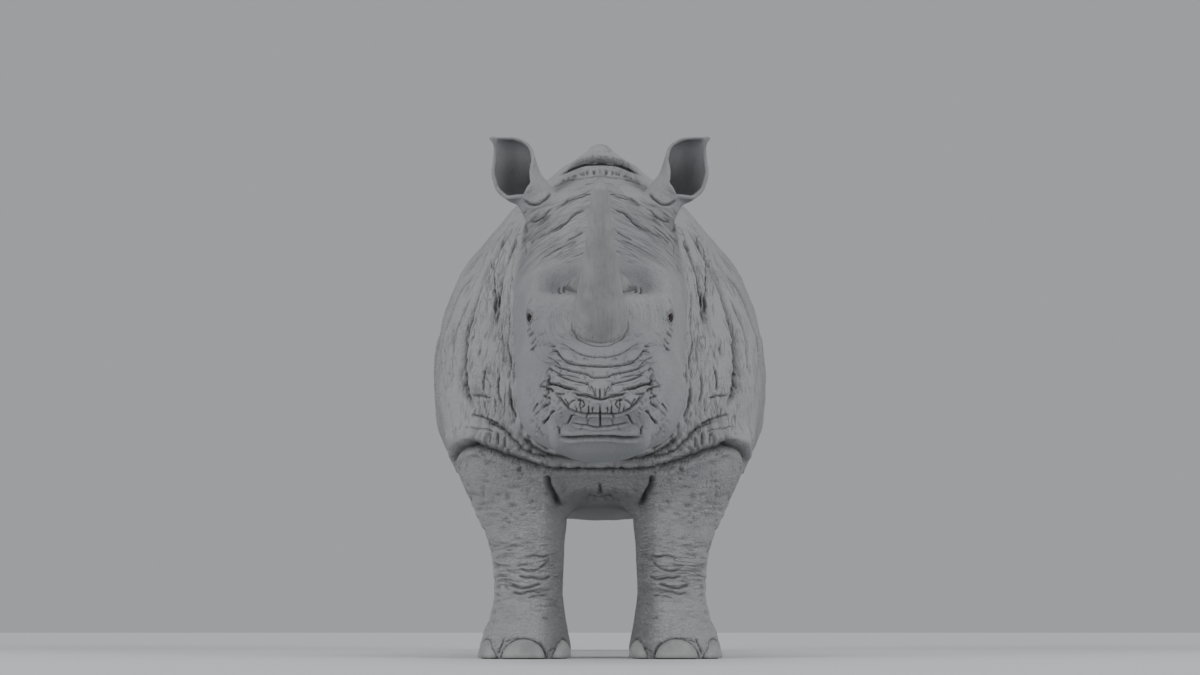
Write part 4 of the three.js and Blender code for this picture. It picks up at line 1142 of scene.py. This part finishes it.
def horn_finish():
    """Grey horn with upright fibres and dark pits at its foot, paler and smoother where it is rubbed."""
    stuff = Finish("horn_fibre")
    place, (x, y, z) = stuff.place()
    foot = stuff.stored("foot")
    fibre = stuff.noise(stuff.at(x * 170, y * 40 + z * 12, z * 14 - y * 10), 1.0, 3, 0.6)
    cloud = stuff.noise(place, 14, 4, 0.6)
    pit = stuff.noise(place, 130, 3).rising(0.56, 0.72)
    grey = stuff.mixed(cloud.rising(0.3, 0.7), (0.205, 0.207, 0.210, 1), (0.270, 0.271, 0.270, 1))
    grey = stuff.mixed(fibre.rising(0.50, 0.72) * 0.35, grey, (0.13, 0.128, 0.125, 1))
    grey = stuff.mixed(pit * foot * 0.6, grey, (0.07, 0.068, 0.065, 1))
    grey = stuff.mixed(foot.rising(0.80, 1.0) * 0.7, grey, (0.05, 0.048, 0.046, 1))
    height = fibre * 0.5 + stuff.noise(place, 90, 3) * 0.35 - pit * foot * 0.6
    stuff.set("Normal", stuff.bump(height, 0.0022, 0.7))
    stuff.set("Base Color", grey)
    stuff.set("Roughness", 0.48 + foot * 0.20 + fibre * 0.12)
    return stuff.material


horn_stuff = horn_finish()
for name in HORN_SPINES:
    piece = placed(name + "_fibre", horn(name))
    piece.data.materials.append(horn_stuff)
    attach(piece, "root")
    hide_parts(name)

# ---- The eyes -------------------------------------------------------------------------------------
# Small dark eyes low on the sides of the head, half hidden by their lids: a wet ball with a clear
# bulge over a dark brown iris. The lids belong to the hide.

def eye_finish():
    """A black pupil in a brown iris, and a brownish white that the lids nearly cover, under clear liquid."""
    stuff = Finish("wet_eye")
    place, _ = stuff.place()
    turned = stuff.stored("turned")
    streak = stuff.noise(place, 700, 3)
    iris = stuff.mixed(streak.rising(0.35, 0.65), (0.016, 0.008, 0.004, 1), (0.050, 0.026, 0.012, 1))
    vein = stuff.cracks(place, 260, 0.06)
    white = stuff.mixed(vein * 0.5, (0.085, 0.062, 0.050, 1), (0.05, 0.018, 0.014, 1))
    eye = stuff.mixed(turned.rising(0.40, 0.50), iris, white)
    eye = stuff.mixed(turned.rising(0.17, 0.14), eye, (0.003, 0.0025, 0.0025, 1))
    stuff.set("Base Color", eye)
    stuff.set("Roughness", streak * 0.03 + 0.06)
    return stuff.material


eye_stuff = eye_finish()
for side, sign in SIDES:
    ball = bmesh.new()
    bmesh.ops.create_uvsphere(ball, u_segments=96, v_segments=72, radius=EYE_RADIUS)
    from_front = np.array([vert.co.normalized().z for vert in ball.verts])
    for vert, swell in zip(ball.verts, 0.07 * step(0.72, 0.95, from_front)):
        vert.co *= 1 + swell
    look = Vector((sign * GAZE.x, GAZE.y, GAZE.z))
    turned = Matrix.Translation((sign * EYE.x, EYE.y, EYE.z)) @ look.to_track_quat("Z", "Y").to_matrix().to_4x4()
    bmesh.ops.transform(ball, matrix=turned, verts=ball.verts)
    mesh = mesh_of(ball, f"eyeball_{side}")
    spread(mesh, "turned", np.arccos(np.clip(from_front, -1, 1)) / (math.pi / 2))
    mesh.shade_smooth()
    mesh.materials.append(eye_stuff)
    eyeball = placed(mesh.name, mesh)
    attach(eyeball, "root")
    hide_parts(f"eye_{side}")

# ---- The toenails ---------------------------------------------------------------------------------
# Three broad nails to a foot, the middle one widest: thick horn set in the rim of the sole, faintly
# ridged along its growth, and worn flat where it meets the ground.

def nail_finish():
    """Grey horn in level growth ridges, scratched upwards and darker at the ground."""
    stuff = Finish("toenail_horn")
    place, (x, y, z) = stuff.place()
    ridge = stuff.noise(stuff.at(x * 20, y * 20, z * 260), 1.0, 2)
    cloud = stuff.noise(place, 30, 4, 0.6)
    scratch = stuff.noise(stuff.at(x * 240, y * 240, z * 30), 1.0, 3).rising(0.55, 0.75)
    grey = stuff.mixed(cloud.rising(0.3, 0.7), (0.235, 0.236, 0.238, 1), (0.305, 0.305, 0.302, 1))
    grey = stuff.mixed(scratch * 0.35, grey, (0.14, 0.137, 0.13, 1))
    grey = stuff.mixed(z.rising(0.014, 0.004) * 0.5, grey, (0.11, 0.105, 0.10, 1))
    stuff.set("Base Color", grey)
    stuff.set("Normal", stuff.bump(ridge * 0.5 + cloud * 0.4, 0.0018, 0.6))
    stuff.set("Roughness", 0.45 + cloud * 0.2)
    return stuff.material


nail_stuff = nail_finish()
for name, sign, turn, half_width in NAILS:
    ball = bmesh.new()
    bmesh.ops.create_uvsphere(ball, u_segments=72, v_segments=48, radius=1)
    bmesh.ops.scale(ball, vec=(half_width, NAIL_DEPTH, NAIL_HEIGHT), verts=ball.verts)
    growth = np.array([(v.co.x * 30, 0, v.co.z * 150) for v in ball.verts])
    for vert, swell in zip(ball.verts, 0.0006 * noise(growth, turn)):
        vert.co += vert.normal * swell
    spin = Matrix.Rotation(math.radians(sign * turn), 4, "Z")
    bmesh.ops.transform(ball, matrix=Matrix.Translation(nail_root(name)) @ spin, verts=ball.verts)
    everything = ball.verts[:] + ball.edges[:] + ball.faces[:]
    ground = (0, 0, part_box("nail_" + name)[0].z)
    bmesh.ops.bisect_plane(ball, geom=everything, plane_co=ground, plane_no=(0, 0, -1), clear_outer=True)
    bmesh.ops.holes_fill(ball, edges=ball.edges)
    bmesh.ops.recalc_face_normals(ball, faces=ball.faces)
    nail = placed("toenail_" + name, mesh_of(ball, "toenail_" + name))
    nail.data.shade_smooth()
    nail.data.materials.append(nail_stuff)
    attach(nail, "root")
    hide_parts("nail_" + name)

# ---- The tail's brush -----------------------------------------------------------------------------
# Stiff black bristles in a fringe round the end of the tail: solid tapered tufts, rooted in the hide,
# that lie down along the tail and over one another.

BRISTLES = 520
BRISTLE_RINGS = 5
FRINGE = (0.706, 0.930)  # the heights that it grows at

random = np.random.default_rng(7)
brush = bmesh.new()
patch = brush.loops.layers.uv.new("OFBake")
at_tail = clay.points[(clay.points[:, 1] > 1.35) & (np.abs(clay.points[:, 0]) < 0.07)]
for n in range(BRISTLES):
    share = random.random() ** 2.0
    height = FRINGE[0] + (FRINGE[1] - FRINGE[0]) * share
    ring = at_tail[np.abs(at_tail[:, 2] - height) < 0.008]
    core = Vector((0, (ring[:, 1].min() + ring[:, 1].max()) / 2, height))
    angle = random.uniform(0, 2 * math.pi)
    away = Vector((math.cos(angle), math.sin(angle), 0))
    across = Vector((-away.y, away.x, 0))
    root = surface.find_nearest(core + away * 0.04)[0] - away * 0.002
    length = random.uniform(0.055, 0.095) * (1 - 0.35 * share)
    wide, lift, lean = random.uniform(0.0016, 0.0026), random.uniform(0.10, 0.34), random.normal(0, 0.10)
    rings = []
    for step_down in range(BRISTLE_RINGS):
        t = step_down / (BRISTLE_RINGS - 1)
        fall = away * (length * lift * math.sin(t * 1.9)) + across * (length * lean * t * t)
        middle = root + fall - Vector((0, 0, length * t))
        size = wide * (1 - 0.9 * t**1.5)
        rings.append([brush.verts.new(middle + part * size) for part in (across, away * 0.5, -across, away * -0.5)])
    faces = [brush.faces.new(rings[0][::-1]), brush.faces.new(rings[-1])]
    for low, high in zip(rings, rings[1:]):
        for k in range(4):
            faces.append(brush.faces.new((low[k], low[(k + 1) % 4], high[(k + 1) % 4], high[k])))
    where = {vert: (k / 4, level / BRISTLE_RINGS) for level, ring in enumerate(rings) for k, vert in enumerate(ring)}
    for face in faces:
        for loop in face.loops:
            u, v = where[loop.vert]
            loop[patch].uv = (angle / (2 * math.pi) + 0.003 * u, share + 0.003 * v)
bmesh.ops.recalc_face_normals(brush, faces=brush.faces)


def bristle_finish():
    """Black horn, browner in some locks and greyer where it is worn."""
    stuff = Finish("bristle")
    place, (x, y, z) = stuff.place()
    lock = stuff.noise(place, 90, 3)
    wear = stuff.noise(stuff.at(x * 300, y * 300, z * 30), 1.0, 2)
    black = stuff.mixed(lock.rising(0.3, 0.7), (0.022, 0.020, 0.019, 1), (0.060, 0.054, 0.048, 1))
    stuff.set("Base Color", stuff.mixed(wear.rising(0.5, 0.8) * 0.4, black, (0.11, 0.10, 0.09, 1)))
    stuff.set("Roughness", wear * 0.2 + 0.42)
    return stuff.material


bristles = placed("tail_bristles", mesh_of(brush, "tail_bristles"))
bristles.data.shade_smooth()
bristles.data.materials.append(bristle_finish())
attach(bristles, "root")

# ---- Studio ---------------------------------------------------------------------------------------
# A plain pale floor and backdrop, soft light from above and the sides, and a low camera in front.

CAMERA = Vector((0, -5.613, 0.09))
PITCH = math.radians(9.9)


def floor_finish():
    """Smooth painted floor, a little scuffed, with shade painted on it that darkens it slightly behind the animal."""
    stuff = Finish("pale_floor")
    place, (x, y, z) = stuff.place()
    scuff = stuff.noise(place, 3.0, 4, 0.6)
    # Painted shade: the floor darkens behind the animal, where the body would shade it.
    paint_and_shade = stuff.mixed(y.rising(0.0, 2.8), (0.75, 0.76, 0.77, 1), (0.60, 0.61, 0.625, 1))
    stuff.set("Base Color", stuff.mixed(scuff * 0.06, paint_and_shade, (0.5, 0.5, 0.5, 1)))
    stuff.set("Roughness", scuff * 0.10 + 0.80)
    return stuff.material


ground = bmesh.new()
bmesh.ops.create_grid(ground, x_segments=1, y_segments=1, size=30)
floor = placed("floor", mesh_of(ground, "floor"))
floor.data.materials.append(floor_finish())

world = bpy.data.worlds.new("studio")
bpy.context.scene.world = world
world.use_nodes = True
world.node_tree.nodes["Background"].inputs["Color"].default_value = (0.375, 0.387, 0.400, 1)
world.node_tree.nodes["Background"].inputs["Strength"].default_value = 1.0


def soft_lamp(name, direction, spread, strength):
    """A large soft source far off in a direction, as wide as its spread in degrees."""
    light = bpy.data.lights.new(name, "SUN")
    light.angle = math.radians(spread)
    light.energy = strength
    lamp = placed(name, light)
    away = Vector(direction).normalized()
    lamp.matrix_world = Matrix.Translation(away * 12) @ away.to_track_quat("Z", "Y").to_matrix().to_4x4()


soft_lamp("overhead", (0, -0.1, 1), 57, 0.68)
for side, sign in SIDES:
    soft_lamp("lamp_" + side, (0.78 * sign, -0.56, 0.27), 35, 1.38)

lens = bpy.data.cameras.new("camera")
lens.lens = 50
lens.sensor_width = 36
camera = placed("camera", lens)
camera.matrix_world = Matrix.Translation(CAMERA) @ Matrix.Rotation(math.pi / 2 + PITCH, 4, "X")
bpy.context.scene.camera = camera
